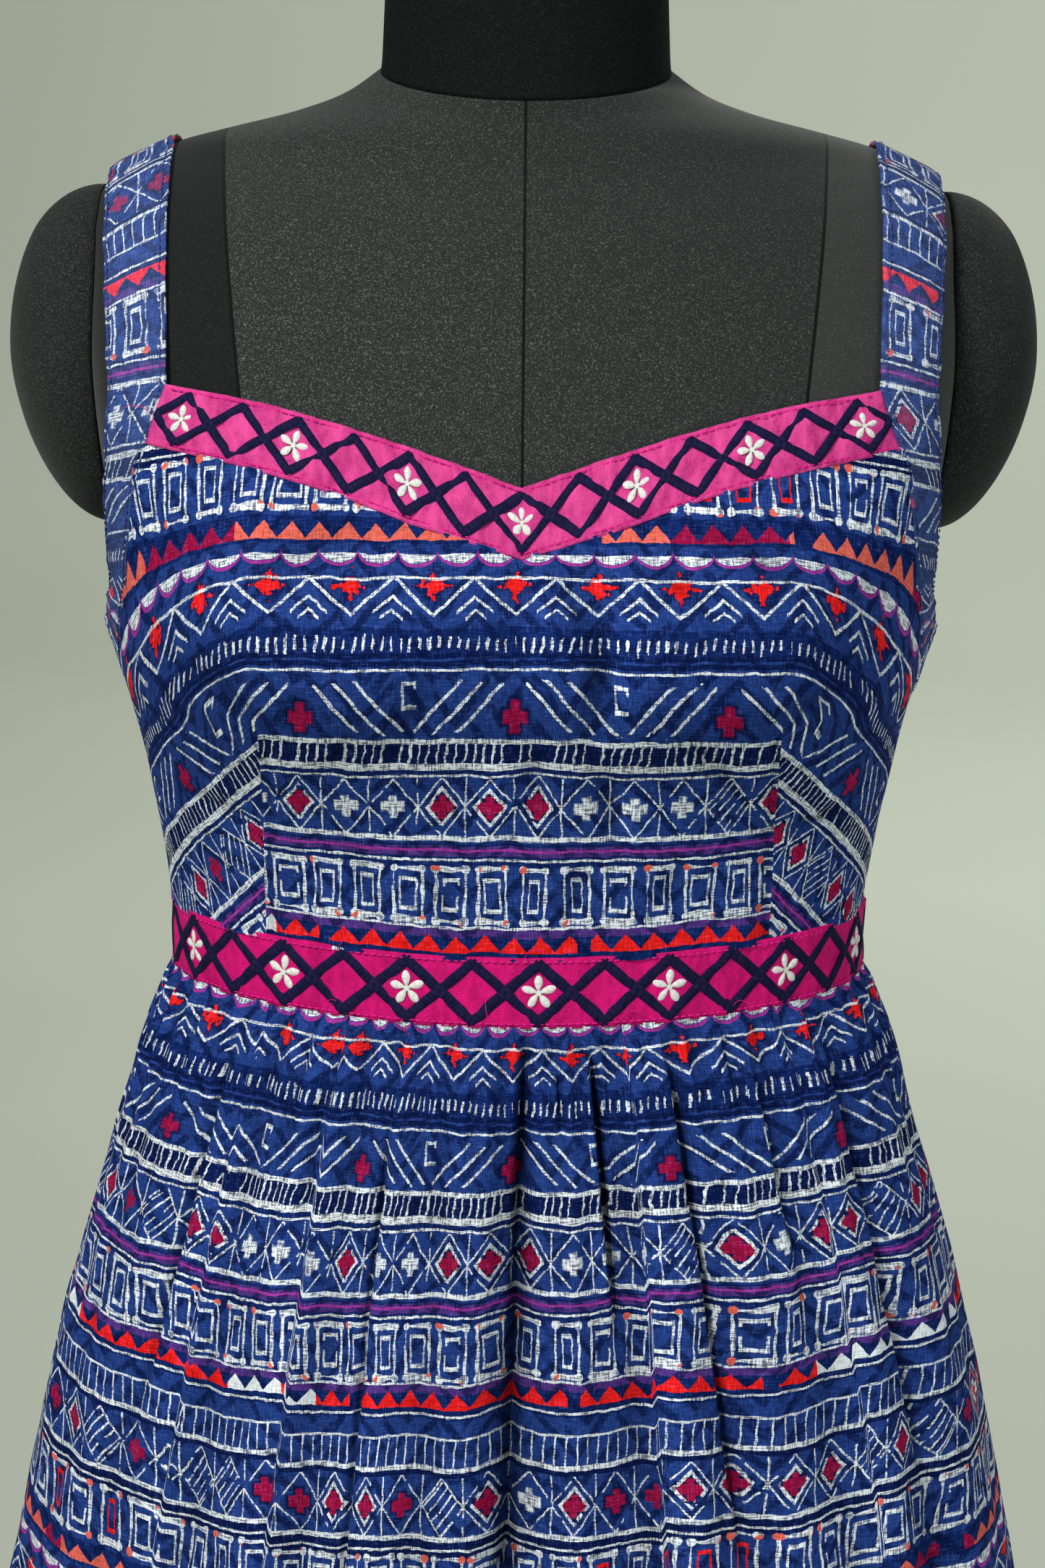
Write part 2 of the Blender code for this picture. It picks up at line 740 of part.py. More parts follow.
def main():
    for old in list(bpy.data.objects):
        bpy.data.objects.remove(old, do_unlink=True)
    collection = bpy.data.collections.new(COLLECTION)
    bpy.context.scene.collection.children.link(collection)
    make_torso(collection)
    make_neck(collection)
    make_cap("form_cap_left", -1, collection)
    make_cap("form_cap_right", 1, collection)
    make_stand(collection)
    add_wall("bodice_front", panel_rows(NECK_CURVES, False), collection)
    add_wall("bodice_back", panel_rows(BACK_CURVES, True), collection)
    add_wall("neck_band", neck_band_rows(), collection, BAND_WALL)
    add_wall("strap_left", strap_rows(-1), collection, closed=True)
    add_wall("strap_right", strap_rows(1), collection, closed=True)
    add_wall("waistband_front", waistband_rows(False), collection, BAND_WALL)
    add_wall("waistband_back", waistband_rows(True), collection, BAND_WALL)
    add_wall("skirt_front", skirt_rows(False), collection)
    add_wall("skirt_back", skirt_rows(True), collection)
    face_outwards()
    centre_parts()


main()
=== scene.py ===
import math
from functools import reduce
from types import SimpleNamespace
import bpy
import numpy as np
from mathutils import Matrix, Vector


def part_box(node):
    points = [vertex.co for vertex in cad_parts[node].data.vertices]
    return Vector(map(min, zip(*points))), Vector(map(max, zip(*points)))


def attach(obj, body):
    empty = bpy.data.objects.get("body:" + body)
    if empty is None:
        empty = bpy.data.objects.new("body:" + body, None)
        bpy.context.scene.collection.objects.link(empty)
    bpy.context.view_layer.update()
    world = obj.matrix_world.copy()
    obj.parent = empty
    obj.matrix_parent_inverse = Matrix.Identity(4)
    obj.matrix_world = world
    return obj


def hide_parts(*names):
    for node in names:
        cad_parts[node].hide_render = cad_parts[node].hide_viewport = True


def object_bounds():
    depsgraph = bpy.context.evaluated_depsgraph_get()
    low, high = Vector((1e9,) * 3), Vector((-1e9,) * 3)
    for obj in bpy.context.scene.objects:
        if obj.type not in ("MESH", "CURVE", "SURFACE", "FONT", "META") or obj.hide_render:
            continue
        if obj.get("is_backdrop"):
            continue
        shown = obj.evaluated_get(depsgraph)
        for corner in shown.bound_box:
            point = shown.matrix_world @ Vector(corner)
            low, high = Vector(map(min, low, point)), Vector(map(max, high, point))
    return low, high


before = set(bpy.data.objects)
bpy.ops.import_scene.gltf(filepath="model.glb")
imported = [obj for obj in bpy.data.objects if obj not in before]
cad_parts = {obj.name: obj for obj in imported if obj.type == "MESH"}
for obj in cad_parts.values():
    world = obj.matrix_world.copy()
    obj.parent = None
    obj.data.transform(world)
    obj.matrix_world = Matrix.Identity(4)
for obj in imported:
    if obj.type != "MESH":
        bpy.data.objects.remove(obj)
CAD_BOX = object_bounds()

# Lengths are metres in the shapes and millimetres in the print's coordinates.
# Angles go round the figure in degrees: 0 centre front, 90 the side towards +X.

WAIST_TOP, WAIST_BOTTOM, HEM = 1.0365, 1.0060, 0.400
WAIST_LIFT, LIFT_FADES = 0.006, (0.850, 1.000, 1.042, 1.125)
FITTED_SLACK, RESTING_SLACK, SLACK_HEIGHTS = 0.0028, 0.0014, (1.225, 1.320)
CLOTH, BAND = 0.0014, 0.0018
BUST_APART, BUST_HEIGHT, BUST_DEPTH = 0.102, 1.165, 0.0335
BUST_SIDE, BUST_UP, BUST_DOWN, BUST_BRIDGE = 0.046, 0.064, 0.055, 0.42
UNDERARM_LOW, UNDERARM_HIGH, UNDERARM_TURN = 1.130, 1.157, 1.190
UNDERARM_FLARE = 0.0045
TOP_INNER, TOP_OUTER = (0.1480, 1.3680), (0.1750, 1.3540)
NECK_TILT, NECK_TILT_HEIGHTS, NECK_TOP = 0.0115, (1.370, 1.398), 1.476
DART_X, DART_TOP, DART_SLANT = 0.104, 1.142, math.radians(42)
FORM_FOOT, NECK_BASE, NECK_AXIS = 0.720, 1.398, 0.005
CAP_CENTRE, CAP_HALF_DEPTH, CAP_HALF_HEIGHT, CAP_BULGE = 1.2770, 0.056, 0.0725, 0.0352
SKIRT_TOP, NECK_BAND_HEIGHT, WAIST_MIDDLE, WAIST_HALF = 1.0068, 0.0275, 1.021, 0.01525
# the print's row at the waist seam, and its millimetres for each metre of cloth in front
WAIST_ROW, PRINT_SCALE = 160.5, 918

# height, half width, front depth, back depth, squareness
FIGURE = (
    (0.720, 0.1740, 0.107, 0.117, 2.20), (0.760, 0.1780, 0.110, 0.122, 2.20),
    (0.850, 0.1780, 0.112, 0.126, 2.20), (0.900, 0.1720, 0.111, 0.122, 2.20),
    (0.946, 0.1620, 0.109, 0.112, 2.20), (0.976, 0.1540, 0.107, 0.103, 2.20),
    (1.006, 0.1485, 0.105, 0.097, 2.25), (1.030, 0.1480, 0.104, 0.095, 2.30),
    (1.049, 0.1495, 0.105, 0.095, 2.30), (1.078, 0.1540, 0.107, 0.098, 2.35),
    (1.098, 0.1580, 0.109, 0.101, 2.40), (1.130, 0.1650, 0.113, 0.106, 2.60),
    (1.157, 0.1710, 0.116, 0.109, 2.90), (1.190, 0.1735, 0.115, 0.111, 3.40),
    (1.215, 0.1760, 0.112, 0.112, 3.80), (1.250, 0.1805, 0.106, 0.111, 4.30),
    (1.280, 0.1835, 0.100, 0.108, 4.40), (1.305, 0.1840, 0.094, 0.104, 4.00),
    (1.330, 0.1840, 0.085, 0.097, 3.30), (1.344, 0.1820, 0.077, 0.090, 2.70),
    (1.354, 0.1750, 0.070, 0.084, 2.30), (1.361, 0.1630, 0.066, 0.080, 2.10),
    (1.368, 0.1480, 0.063, 0.077, 2.00), (1.3745, 0.1240, 0.061, 0.074, 2.00),
    (1.381, 0.0980, 0.0595, 0.0715, 2.00), (1.388, 0.0780, 0.0585, 0.0695, 2.00),
    (1.398, 0.0620, 0.0580, 0.0680, 2.00),
)
# height, half width, front depth, back depth, squareness
SKIRT = (
    (0.400, 0.2700, 0.232, 0.240, 2.00), (0.500, 0.2580, 0.216, 0.226, 2.00),
    (0.600, 0.2440, 0.198, 0.211, 2.00), (0.720, 0.2230, 0.174, 0.190, 2.02),
    (0.790, 0.2100, 0.160, 0.176, 2.05), (0.850, 0.1980, 0.147, 0.163, 2.10),
    (0.890, 0.1870, 0.139, 0.152, 2.12), (0.946, 0.1700, 0.125, 0.131, 2.15),
    (0.976, 0.1610, 0.116, 0.115, 2.20), (0.994, 0.1535, 0.1092, 0.1028, 2.22),
    (1.001, 0.1512, 0.1077, 0.0997, 2.25), (1.006, 0.1512, 0.1077, 0.0997, 2.25),
)
# share of the half width, height of the upper edge, height of the lower edge
NECK_EDGES = (
    (0.00, 1.2320, 1.2044), (0.25, 1.2445, 1.2158), (0.50, 1.2560, 1.2292),
    (0.75, 1.2654, 1.2396), (1.00, 1.2716, 1.2475),
)
# share of the half width, height of the back's upper edge, the same again
BACK_EDGE = ((0.00, 1.2280, 1.2280), (0.50, 1.2340, 1.2340), (1.00, 1.2475, 1.2475))
# height, inner edge from the centre, outer edge from the centre
STRAP_EDGES = (
    (1.1900, 0.1605, 0.1702), (1.2100, 0.1592, 0.1708), (1.2285, 0.1565, 0.1702),
    (1.2475, 0.1520, 0.1694), (1.2595, 0.1484, 0.1688), (1.2716, 0.1445, 0.1684),
)
# angle, near spread, far spread, depth at the waist, depth at the hem, drop of the print in mm
FOLDS = (
    (-66.0, 14.0, 5.0, 0.0020, 0.020, 0.0), (-54.0, 11.0, 5.0, 0.0030, 0.017, 4.0),
    (-37.0, 9.0, 3.6, 0.0045, 0.019, 6.0), (-21.0, 5.6, 5.0, 0.0008, 0.012, 0.0),
    (-7.5, 5.5, 5.0, 0.0036, 0.018, 0.0), (9.0, 5.0, 5.5, 0.0022, 0.014, 0.0),
    (25.0, 4.4, 5.6, 0.0046, 0.019, -4.0), (41.0, 4.4, 6.2, 0.0014, 0.014, 0.0),
    (56.0, 4.4, 5.0, 0.0032, 0.017, -3.0), (70.0, 5.0, 8.0, 0.0025, 0.019, 0.0),
    (84.0, 10.0, 10.0, 0.0015, 0.014, 0.0), (101.0, 12.0, 6.0, 0.0025, 0.018, 0.0),
    (118.0, 9.0, 9.0, 0.0020, 0.015, 0.0), (136.0, 7.0, 12.0, 0.0035, 0.019, 0.0),
    (153.0, 11.0, 7.0, 0.0020, 0.014, 0.0), (171.0, 8.0, 12.0, 0.0030, 0.018, 0.0),
    (190.0, 12.0, 7.0, 0.0020, 0.015, 0.0), (207.0, 7.0, 11.0, 0.0035, 0.019, 0.0),
    (226.0, 10.0, 8.0, 0.0020, 0.014, 0.0), (244.0, 12.0, 6.0, 0.0030, 0.018, 0.0),
    (262.0, 9.0, 10.0, 0.0020, 0.015, 0.0), (279.0, 10.0, 8.0, 0.0015, 0.013, 0.0),
)
# sharp creases under the waistband: angle, width in degrees, depth, where it begins and ends,
# and how far it turns round the skirt for each metre down
PLEATS = (
    (1.5, 1.1, 0.0065, 0.003, 0.420, -12.0), (16.0, 0.8, 0.0090, 0.003, 0.140, 12.0),
    (1.2, 4.2, 0.0060, 0.030, 0.560, -12.0), (19.5, 3.0, 0.0045, 0.040, 0.420, 10.0),
    (31.0, 0.7, 0.0060, 0.010, 0.260, 14.0), (46.0, 0.8, 0.0030, 0.010, 0.120, 20.0),
    (-24.5, 0.5, 0.0040, 0.040, 0.330, 0.0), (-37.0, 0.9, 0.0040, 0.006, 0.110, 4.0),
    (-56.0, 0.9, 0.0050, 0.010, 0.200, -8.0), (8.6, 0.5, 0.0035, 0.003, 0.050, 4.0),
    (-9.0, 0.5, 0.0025, 0.004, 0.060, 0.0), (62.0, 0.9, 0.0045, 0.010, 0.240, 10.0),
    (123.0, 0.8, 0.0055, 0.004, 0.200, 8.0), (147.0, 0.8, 0.0060, 0.003, 0.260, 0.0),
    (178.0, 0.9, 0.0065, 0.003, 0.330, 4.0), (201.0, 0.8, 0.0055, 0.004, 0.160, -8.0),
    (217.0, 0.8, 0.0060, 0.003, 0.240, 0.0), (238.0, 0.9, 0.0050, 0.010, 0.200, -6.0),
)
GATHERS, GATHER_DEPTH, GATHER_FADE, GATHER_START = 64, 0.0034, 0.100, 0.009

# creases in the front panel: distance from the centre, height, lean in degrees, length, width and
# depth, where a depth below 0 is a ridge
CREASES = (
    (0.030, 1.158, 6.0, 0.062, 0.0062, 0.0022), (0.043, 1.163, 2.0, 0.070, 0.0075, -0.0018),
    (0.021, 1.186, -20.0, 0.034, 0.0040, 0.0012), (0.008, 1.174, 12.0, 0.044, 0.0050, -0.0010),
    (0.036, 1.108, -14.0, 0.050, 0.0055, 0.0016), (0.047, 1.098, -8.0, 0.044, 0.0060, -0.0012),
    (0.005, 1.118, 9.0, 0.052, 0.0055, 0.0012), (-0.010, 1.106, 4.0, 0.050, 0.0065, -0.0011),
    (0.022, 1.062, 16.0, 0.040, 0.0045, 0.0014), (-0.032, 1.060, -12.0, 0.038, 0.0045, 0.0012),
    (0.062, 1.066, 22.0, 0.036, 0.0045, 0.0012), (-0.066, 1.072, -18.0, 0.040, 0.0050, 0.0010),
    (-0.044, 1.146, 24.0, 0.056, 0.0060, 0.0011), (-0.074, 1.126, 40.0, 0.046, 0.0050, 0.0010),
    (0.080, 1.122, -42.0, 0.050, 0.0050, 0.0012), (0.118, 1.150, 62.0, 0.046, 0.0045, 0.0011),
    (-0.120, 1.152, -60.0, 0.046, 0.0045, 0.0011), (-0.128, 1.096, -74.0, 0.040, 0.0042, 0.0010),
    (0.126, 1.092, 70.0, 0.044, 0.0042, 0.0012), (-0.090, 1.205, 66.0, 0.060, 0.0060, 0.0010),
    (0.092, 1.208, -64.0, 0.058, 0.0060, 0.0011), (0.064, 1.196, -50.0, 0.040, 0.0045, 0.0010),
)

low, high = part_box("stand_base")
SHIFT = np.array([(low[0] + high[0]) / 2, (low[1] + high[1]) / 2, 0.0])


def step(low, high, x):
    t = np.clip((np.asarray(x, float) - low) / (high - low), 0, 1)
    return t * t * (3 - 2 * t)


def curve(table):
    """A function that reads every column of a table on smooth curves."""
    t = np.array(table, float)
    keys, values = t[:, 0], t[:, 1:]
    rate = np.diff(values, axis=0) / np.diff(keys)[:, None]
    both = rate[:-1] * rate[1:]
    total = np.where(both > 0, rate[:-1] + rate[1:], 1.0)
    inner = np.where(both > 0, 2 * both / total, 0.0)
    slope = np.concatenate([rate[:1], inner, rate[-1:]])

    def read(x):
        x = np.clip(np.asarray(x, float), keys[0], keys[-1])
        i = np.clip(np.searchsorted(keys, x) - 1, 0, len(keys) - 2)
        w = (keys[i + 1] - keys[i])[..., None]
        s = ((x - keys[i]) / (keys[i + 1] - keys[i]))[..., None]
        out = values[i] * (1 + 2 * s) * (1 - s) ** 2 + values[i + 1] * s * s * (3 - 2 * s)
        out = out + slope[i] * w * s * (1 - s) ** 2 - slope[i + 1] * w * s * s * (1 - s)
        return np.moveaxis(out, -1, 0)
    return read


figure, skirt_curve, neck_curve, back_curve, strap_curve = map(
    curve, (FIGURE, SKIRT, NECK_EDGES, BACK_EDGE, STRAP_EDGES))


def radius(section, angle):
    half, front, back, square = section
    side, ahead = np.abs(np.sin(np.radians(angle))), np.cos(np.radians(angle))
    depth = np.where(ahead > 0, front, back)
    return ((side / half) ** square + (np.abs(ahead) / depth) ** square) ** (-1 / square)


def bust(x, z):
    a = np.abs(x)
    across = np.where(a < BUST_APART, 1 - BUST_BRIDGE * (1 - a / BUST_APART) ** 2,
                      np.exp(-((a - BUST_APART) / BUST_SIDE) ** 2))
    rise = z - BUST_HEIGHT
    return BUST_DEPTH * across * np.exp(-(rise / np.where(rise > 0, BUST_UP, BUST_DOWN)) ** 2)


def body(angle, z):
    angle, z = np.broadcast_arrays(np.asarray(angle, float), np.asarray(z, float))
    r, turn = radius(figure(z), angle), np.radians(angle)
    x, y = r * np.sin(turn), -r * np.cos(turn)
    y = y - bust(x, z) * step(0, 0.5, np.cos(turn))
    return np.stack([x, y, z - step(*NECK_TILT_HEIGHTS, z) * NECK_TILT * np.cos(turn)], -1)


def outward(angle, z):
    across = body(angle + 0.3, z) - body(angle - 0.3, z)
    n = np.cross(across, body(angle, z + 0.0008) - body(angle, z - 0.0008))
    return n / np.linalg.norm(n, axis=-1, keepdims=True)


def slack(z):
    return FITTED_SLACK + (RESTING_SLACK - FITTED_SLACK) * step(*SLACK_HEIGHTS, z)


def cloth(angle, z, more=0.0):
    """A place on the inside of a fitted piece, moved out by more."""
    angle, z = np.broadcast_arrays(np.asarray(angle, float), np.asarray(z, float))
    return body(angle, z) + outward(angle, z) * (slack(z) + more)[..., None]


def lifted(angle, z):
    """The height of a place, where the waist runs higher at the sides and back than in front."""
    low, level, top, high = LIFT_FADES
    turn = np.radians(angle)
    away = np.where(np.cos(turn) < 0, 1.0, np.sin(turn) ** 2)
    return z + WAIST_LIFT * away * step(low, level, z) * (1 - step(top, high, z))


def angle_at(x, z, back=False):
    x, z = np.broadcast_arrays(np.asarray(x, float), np.asarray(z, float))
    lo, hi, section = np.zeros(x.shape), np.full(x.shape, 90.0), figure(z)
    for _ in range(34):
        mid = (lo + hi) / 2
        less = radius(section, 180 - mid if back else mid) * np.sin(np.radians(mid)) < x
        lo, hi = np.where(less, mid, lo), np.where(less, hi, mid)
    return 180 - lo if back else lo


def strap_path(back):
    """The strap's inner and outer edge as (angle, height) rows, from the underarm to the shoulder."""
    first = STRAP_EDGES[0]
    to_inner, to_outer = (float(angle_at(first[k], UNDERARM_TURN, back)) for k in (1, 2))
    share = np.linspace(0, 1, 14, endpoint=False)
    bend = share ** 1.8
    inner, outer = ([np.stack([90 + (to - 90) * share, begin + (UNDERARM_TURN - begin) * bend], 1)]
                    for to, begin in ((to_inner, UNDERARM_LOW), (to_outer, UNDERARM_HIGH)))
    z = np.linspace(first[0], STRAP_EDGES[-1][0], 18, endpoint=False)
    for rows, x in zip((inner, outer), strap_curve(z)):
        rows.append(np.stack([angle_at(x, z, back), z], 1))
    climb = np.sin(np.radians(np.linspace(0, 90, 26)))
    last = STRAP_EDGES[-1]
    for rows, begin, (top_x, top_z) in ((inner, last[1], TOP_INNER), (outer, last[2], TOP_OUTER)):
        z = last[0] + (top_z - last[0]) * climb
        a = angle_at(begin + (top_x - begin) * climb, z, back)
        a[-1] = 90
        rows.append(np.stack([a, z], 1))
    return np.concatenate(inner), np.concatenate(outer)


def wavy(*terms):
    """A sum of slow waves, as an unevenness that repeats nowhere near."""
    return lambda a, b: sum(k * np.sin(p * a + q * b + s) for k, p, q, s in terms)


def creased(x, z, table):
    """How far soft troughs and ridges move a place outwards."""
    out = 0.0
    for middle, height, lean, length, width, depth in table:
        a = math.radians(lean)
        down = ((x - middle) * math.sin(a) + (z - height) * math.cos(a)) / length
        across = (x - middle) * math.cos(a) - (z - height) * math.sin(a) + 0.25 * length * down ** 2
        out = out - 1.35 * depth * np.exp(-(across / width) ** 2 - 7 * down ** 2)
    return out


def new_piece(name, verts, faces, uv=None):
    """A mesh piece; uv is one pair for each corner of each face, in order."""
    mesh = bpy.data.meshes.new(name)
    mesh.from_pydata((np.asarray(verts) + SHIFT).tolist(), [], [list(map(int, f)) for f in faces])
    if uv is not None:
        layer = mesh.uv_layers.new(name="print")
        layer.uv.foreach_set("vector", np.asarray(uv, np.float32).ravel())
    mesh.polygons.foreach_set("use_smooth", [True] * len(mesh.polygons))
    made = bpy.data.objects.new(name, mesh)
    bpy.context.scene.collection.objects.link(made)
    return made


def grid_faces(rows, cols, wrap_cols=False):
    i, j = np.meshgrid(np.arange(rows - 1), np.arange(cols if wrap_cols else cols - 1), indexing="ij")
    k = (j + 1) % cols
    return np.stack([i * cols + j, (i + 1) * cols + j, (i + 1) * cols + k, i * cols + k], -1).reshape(-1, 4)


def closed_faces(rows, cols):
    """A wrapped grid closed onto two tips, which are the two points after the grid's."""
    top, base = rows * cols, (rows - 1) * cols
    faces = grid_faces(rows, cols, True).tolist()
    faces += [(i, (i + 1) % cols, top) for i in range(cols)]
    return faces + [(base + (i + 1) % cols, base + i, top + 1) for i in range(cols)]


def running(points):
    """Length along a line of points, from its start."""
    return np.concatenate([[0], np.cumsum(np.linalg.norm(np.diff(points, axis=0), axis=1))])


def grid_piece(name, points, uv=None, other=None, split=None, wrap=False):
    """A piece over a grid of points. Faces outside the columns in split take their print from other."""
    rows, cols = points.shape[:2]
    faces = grid_faces(rows, cols, wrap)
    corner_uv = None
    if uv is not None:
        flat = uv.reshape(-1, 2)
        corner_uv = flat[faces.ravel()].reshape(-1, 4, 2)
        if wrap:
            last = faces[:, 0] % cols == cols - 1
            span = uv[0, -1] + uv[0, 1] - uv[0, 0] - uv[0, 0]
            corner_uv[last, 2:] += span
        if other is not None:
            column = faces[:, 0] % cols
            outside = (column < split[0]) | (column >= split[1])
            corner_uv[outside] = other.reshape(-1, 2)[faces[outside].ravel()].reshape(-1, 4, 2)
    return new_piece(name, points.reshape(-1, 3), faces, corner_uv)


def resample(line, count):
    """The line of (angle, height) places at even steps of its length on the figure."""
    p = body(line[:, 0], line[:, 1])
    run = running(p)
    at = np.linspace(0, run[-1], count)
    return np.stack([np.interp(at, run, line[:, k]) for k in (0, 1)], 1), at / run[-1]


def along(points):
    """Running length along each row of a grid of points, from its middle column."""
    gap = np.linalg.norm(np.diff(points, axis=1), axis=2)
    run = np.concatenate([np.zeros((len(points), 1)), np.cumsum(gap, axis=1)], 1)
    return run - run[:, run.shape[1] // 2][:, None]


def panel(edge, back, rows=130, inner_cols=56, outer_cols=64):
    """A bodice panel as a grid of angles and heights, and its first and last column between darts."""
    inner, _ = strap_path(back)
    if back:
        inner[:, 0] = 180 - inner[:, 0]
    corner_height, corner_x = STRAP_EDGES[3][:2]
    corner = int(np.argmin(np.abs(inner[:, 1] - corner_height)))
    line = inner[: corner + 1][::-1].copy()
    line[:, 0] = np.minimum(line[:, 0] + 0.9 * step(90, 84, line[:, 0]), 90.0)
    seam = np.stack([np.full(40, 90.0), np.linspace(line[-1, 1], WAIST_TOP - 0.002, 41)[1:]], 1)
    ends, share_down = resample(np.concatenate([line, seam]), rows)
    share_u = np.linspace(0, 1, 200)
    z_edge = edge(share_u)[-1]
    spread = angle_at(share_u * corner_x, z_edge, back)
    spread = (180 - spread if back else spread)
    rise = (z_edge - z_edge[0]) / (z_edge[-1] - z_edge[0])
    half_a, half_z = [], []
    for (end_a, end_z), down in zip(ends, share_down):
        middle = z_edge[0] + 0.001 + (WAIST_TOP - 0.002 - z_edge[0] - 0.001) * down
        dart = float(angle_at(DART_X, middle + (end_z - middle) * 0.35, back))
        dart = (180 - dart if back else dart)
        a = np.concatenate([np.linspace(0, dart, inner_cols, endpoint=False),
                            np.linspace(dart, end_a, outer_cols + 1)])
        s = np.interp(a / end_a, spread / spread[-1], share_u)
        half_a.append(a)
        half_z.append(middle + (end_z - middle) * np.interp(s, share_u, rise))
    half_a, half_z = np.array(half_a), np.array(half_z)
    angle = np.concatenate([-half_a[:, :0:-1], half_a], 1) + (180 if back else 0)
    z = np.concatenate([half_z[:, :0:-1], half_z], 1)
    return angle, z, (outer_cols, outer_cols + 2 * inner_cols)


# Materials

def shader(name, roughness=0.85, sheen=0.0, shine=0.12):
    """A new material, its surface node and a maker of further nodes."""
    mat = bpy.data.materials.new(name)
    mat.use_nodes = True
    surface = mat.node_tree.nodes["Principled BSDF"]
    surface.inputs["Roughness"].default_value = roughness
    surface.inputs["Sheen Weight"].default_value = sheen
    surface.inputs["Sheen Roughness"].default_value = 0.5
    surface.inputs["Specular IOR Level"].default_value = shine
    return mat, surface, Nodes(mat.node_tree)


def math_node(op):
    """A method of Nodes that makes one math node."""
    return lambda nodes, *values: nodes.make("Math", *values, operation=op)[0]


class Nodes:
    """Short names for the shader nodes used below."""

    add, sub, mul, div = map(math_node, ("ADD", "SUBTRACT", "MULTIPLY", "DIVIDE"))
    less, more, larger, smaller = map(math_node, ("LESS_THAN", "GREATER_THAN", "MAXIMUM", "MINIMUM"))
    size, power, root, floor = map(math_node, ("ABSOLUTE", "POWER", "SQRT", "FLOOR"))
    muladd, near, fold, modulo = map(math_node, ("MULTIPLY_ADD", "COMPARE", "PINGPONG", "FLOORED_MODULO"))

    def __init__(self, tree):
        self.tree = tree

    def put(self, socket, value):
        if isinstance(value, (int, float)):
            socket.default_value = value
        elif isinstance(value, tuple):
            socket.default_value = value if len(value) == len(socket.default_value) else (*value, 1.0)
        else:
            self.tree.links.new(value, socket)

    def make(self, kind, *values, **settings):
        """The outputs of a new node, with the values in its first inputs."""
        node = self.tree.nodes.new("ShaderNode" + kind)
        for name, setting in settings.items():
            setattr(node, name, setting)
        for socket, value in zip(node.inputs, values):
            self.put(socket, value)
        return node.outputs

    def both(self, *masks):
        """Where every mask is."""
        return reduce(self.mul, masks)

    def any(self, *masks):
        """Where at least one mask is."""
        return reduce(self.larger, masks)

    def mix(self, factor, a, b):
        node = self.tree.nodes.new("ShaderNodeMix")
        node.data_type = "RGBA"
        for place, value in ((0, factor), (6, a), (7, b)):
            self.put(node.inputs[place], value)
        return node.outputs[2]

    def scaled(self, colour, factor):
        node = self.tree.nodes.new("ShaderNodeVectorMath")
        node.operation = "SCALE"
        self.put(node.inputs[0], colour)
        self.put(node.inputs["Scale"], factor)
        return node.outputs[0]

    def vector(self, x, y, z=0.0):
        return self.make("CombineXYZ", x, y, z)[0]

    def split(self, value):
        return self.make("SeparateXYZ", value)

    def own_place(self):
        return self.make("TexCoord")["Object"]

    def uv(self):
        """The place on the flat cloth, across and down in millimetres."""
        return self.split(self.make("UVMap", uv_map="print")[0])[:2]

    def noise(self, place, scale, detail, output=0):
        node = self.tree.nodes.new("ShaderNodeTexNoise")
        self.put(node.inputs["Vector"], place)
        node.inputs["Scale"].default_value = scale
        node.inputs["Detail"].default_value = detail
        return node.outputs[output]

    def noises(self, place, scale, detail):
        """Three noises that don't depend on each other."""
        return self.split(self.noise(place, scale, detail, 1))

    def random(self, a, b):
        """Three random values for a pair of whole numbers."""
        return self.split(self.make("TexWhiteNoise", self.vector(a, b), noise_dimensions="2D")["Color"])

    def ranged(self, value, a, b, c=0.0, d=1.0):
        """The value moved from the range a to b into the range c to d."""
        return self.make("MapRange", value, a, b, c, d)[0]

    def soft(self, value, edge, blur):
        """1 below the edge and 0 above it, with a blurred step."""
        return self.ranged(value, edge - blur, edge + blur, 1.0, 0.0)

    def bands(self, level, rows):
        """Plain colours down the print's repeat, each from its own row to the next one's."""
        node = self.tree.nodes.new("ShaderNodeValToRGB")
        node.color_ramp.interpolation = "CONSTANT"
        stops = node.color_ramp.elements
        while len(stops) < len(rows):
            stops.new(0.5)
        for stop, (row, _) in zip(stops, rows):
            stop.position = (row + HEAD) / (REPEAT + HEAD)
        for stop, (_, colour) in zip(stops, rows):
            stop.color = (*colour, 1.0)
        self.put(node.inputs[0], level)
        return node.outputs[0]

    def bump(self, surface, height, strength, distance):
        node = self.tree.nodes.new("ShaderNodeBump")
        node.inputs["Strength"].default_value = strength
        node.inputs["Distance"].default_value = distance
        self.put(node.inputs["Height"], height)
        self.put(surface.inputs["Normal"], node.outputs[0])


BLUE, DEEP, NAVY = (0.0125, 0.038, 0.185), (0.0040, 0.0170, 0.108), (0.0020, 0.0085, 0.062)
INK, WHITE, CRIMSON = (0.0016, 0.0066, 0.052), (0.66, 0.71, 0.74), (0.27, 0.004, 0.045)
RED, CORAL = (0.72, 0.012, 0.010), (0.64, 0.115, 0.080)
PURPLE, MAGENTA = (0.070, 0.028, 0.190), (0.30, 0.030, 0.270)
PALE_THREAD, PAINTED_LIGHT_BLUE = (0.075, 0.120, 0.330), (0.17, 0.25, 0.50)
# KNIT_SHADED is painted shade; the side panels' pair holds the right one's painted light and the left one's
# painted shade
KNIT_FLECK, KNIT_SHADED, KNIT_SEAM = (0.165, 0.170, 0.160), (0.0100, 0.0130, 0.0125), (0.002, 0.002, 0.002)
KNIT_SIDES_LIT_AND_SHADED = (0.0400, 0.0450, 0.0420), (0.0030, 0.0050, 0.0050)

# the print's repeat, and how much of it lies above its row 0
REPEAT, HEAD = 261.0, 4.0
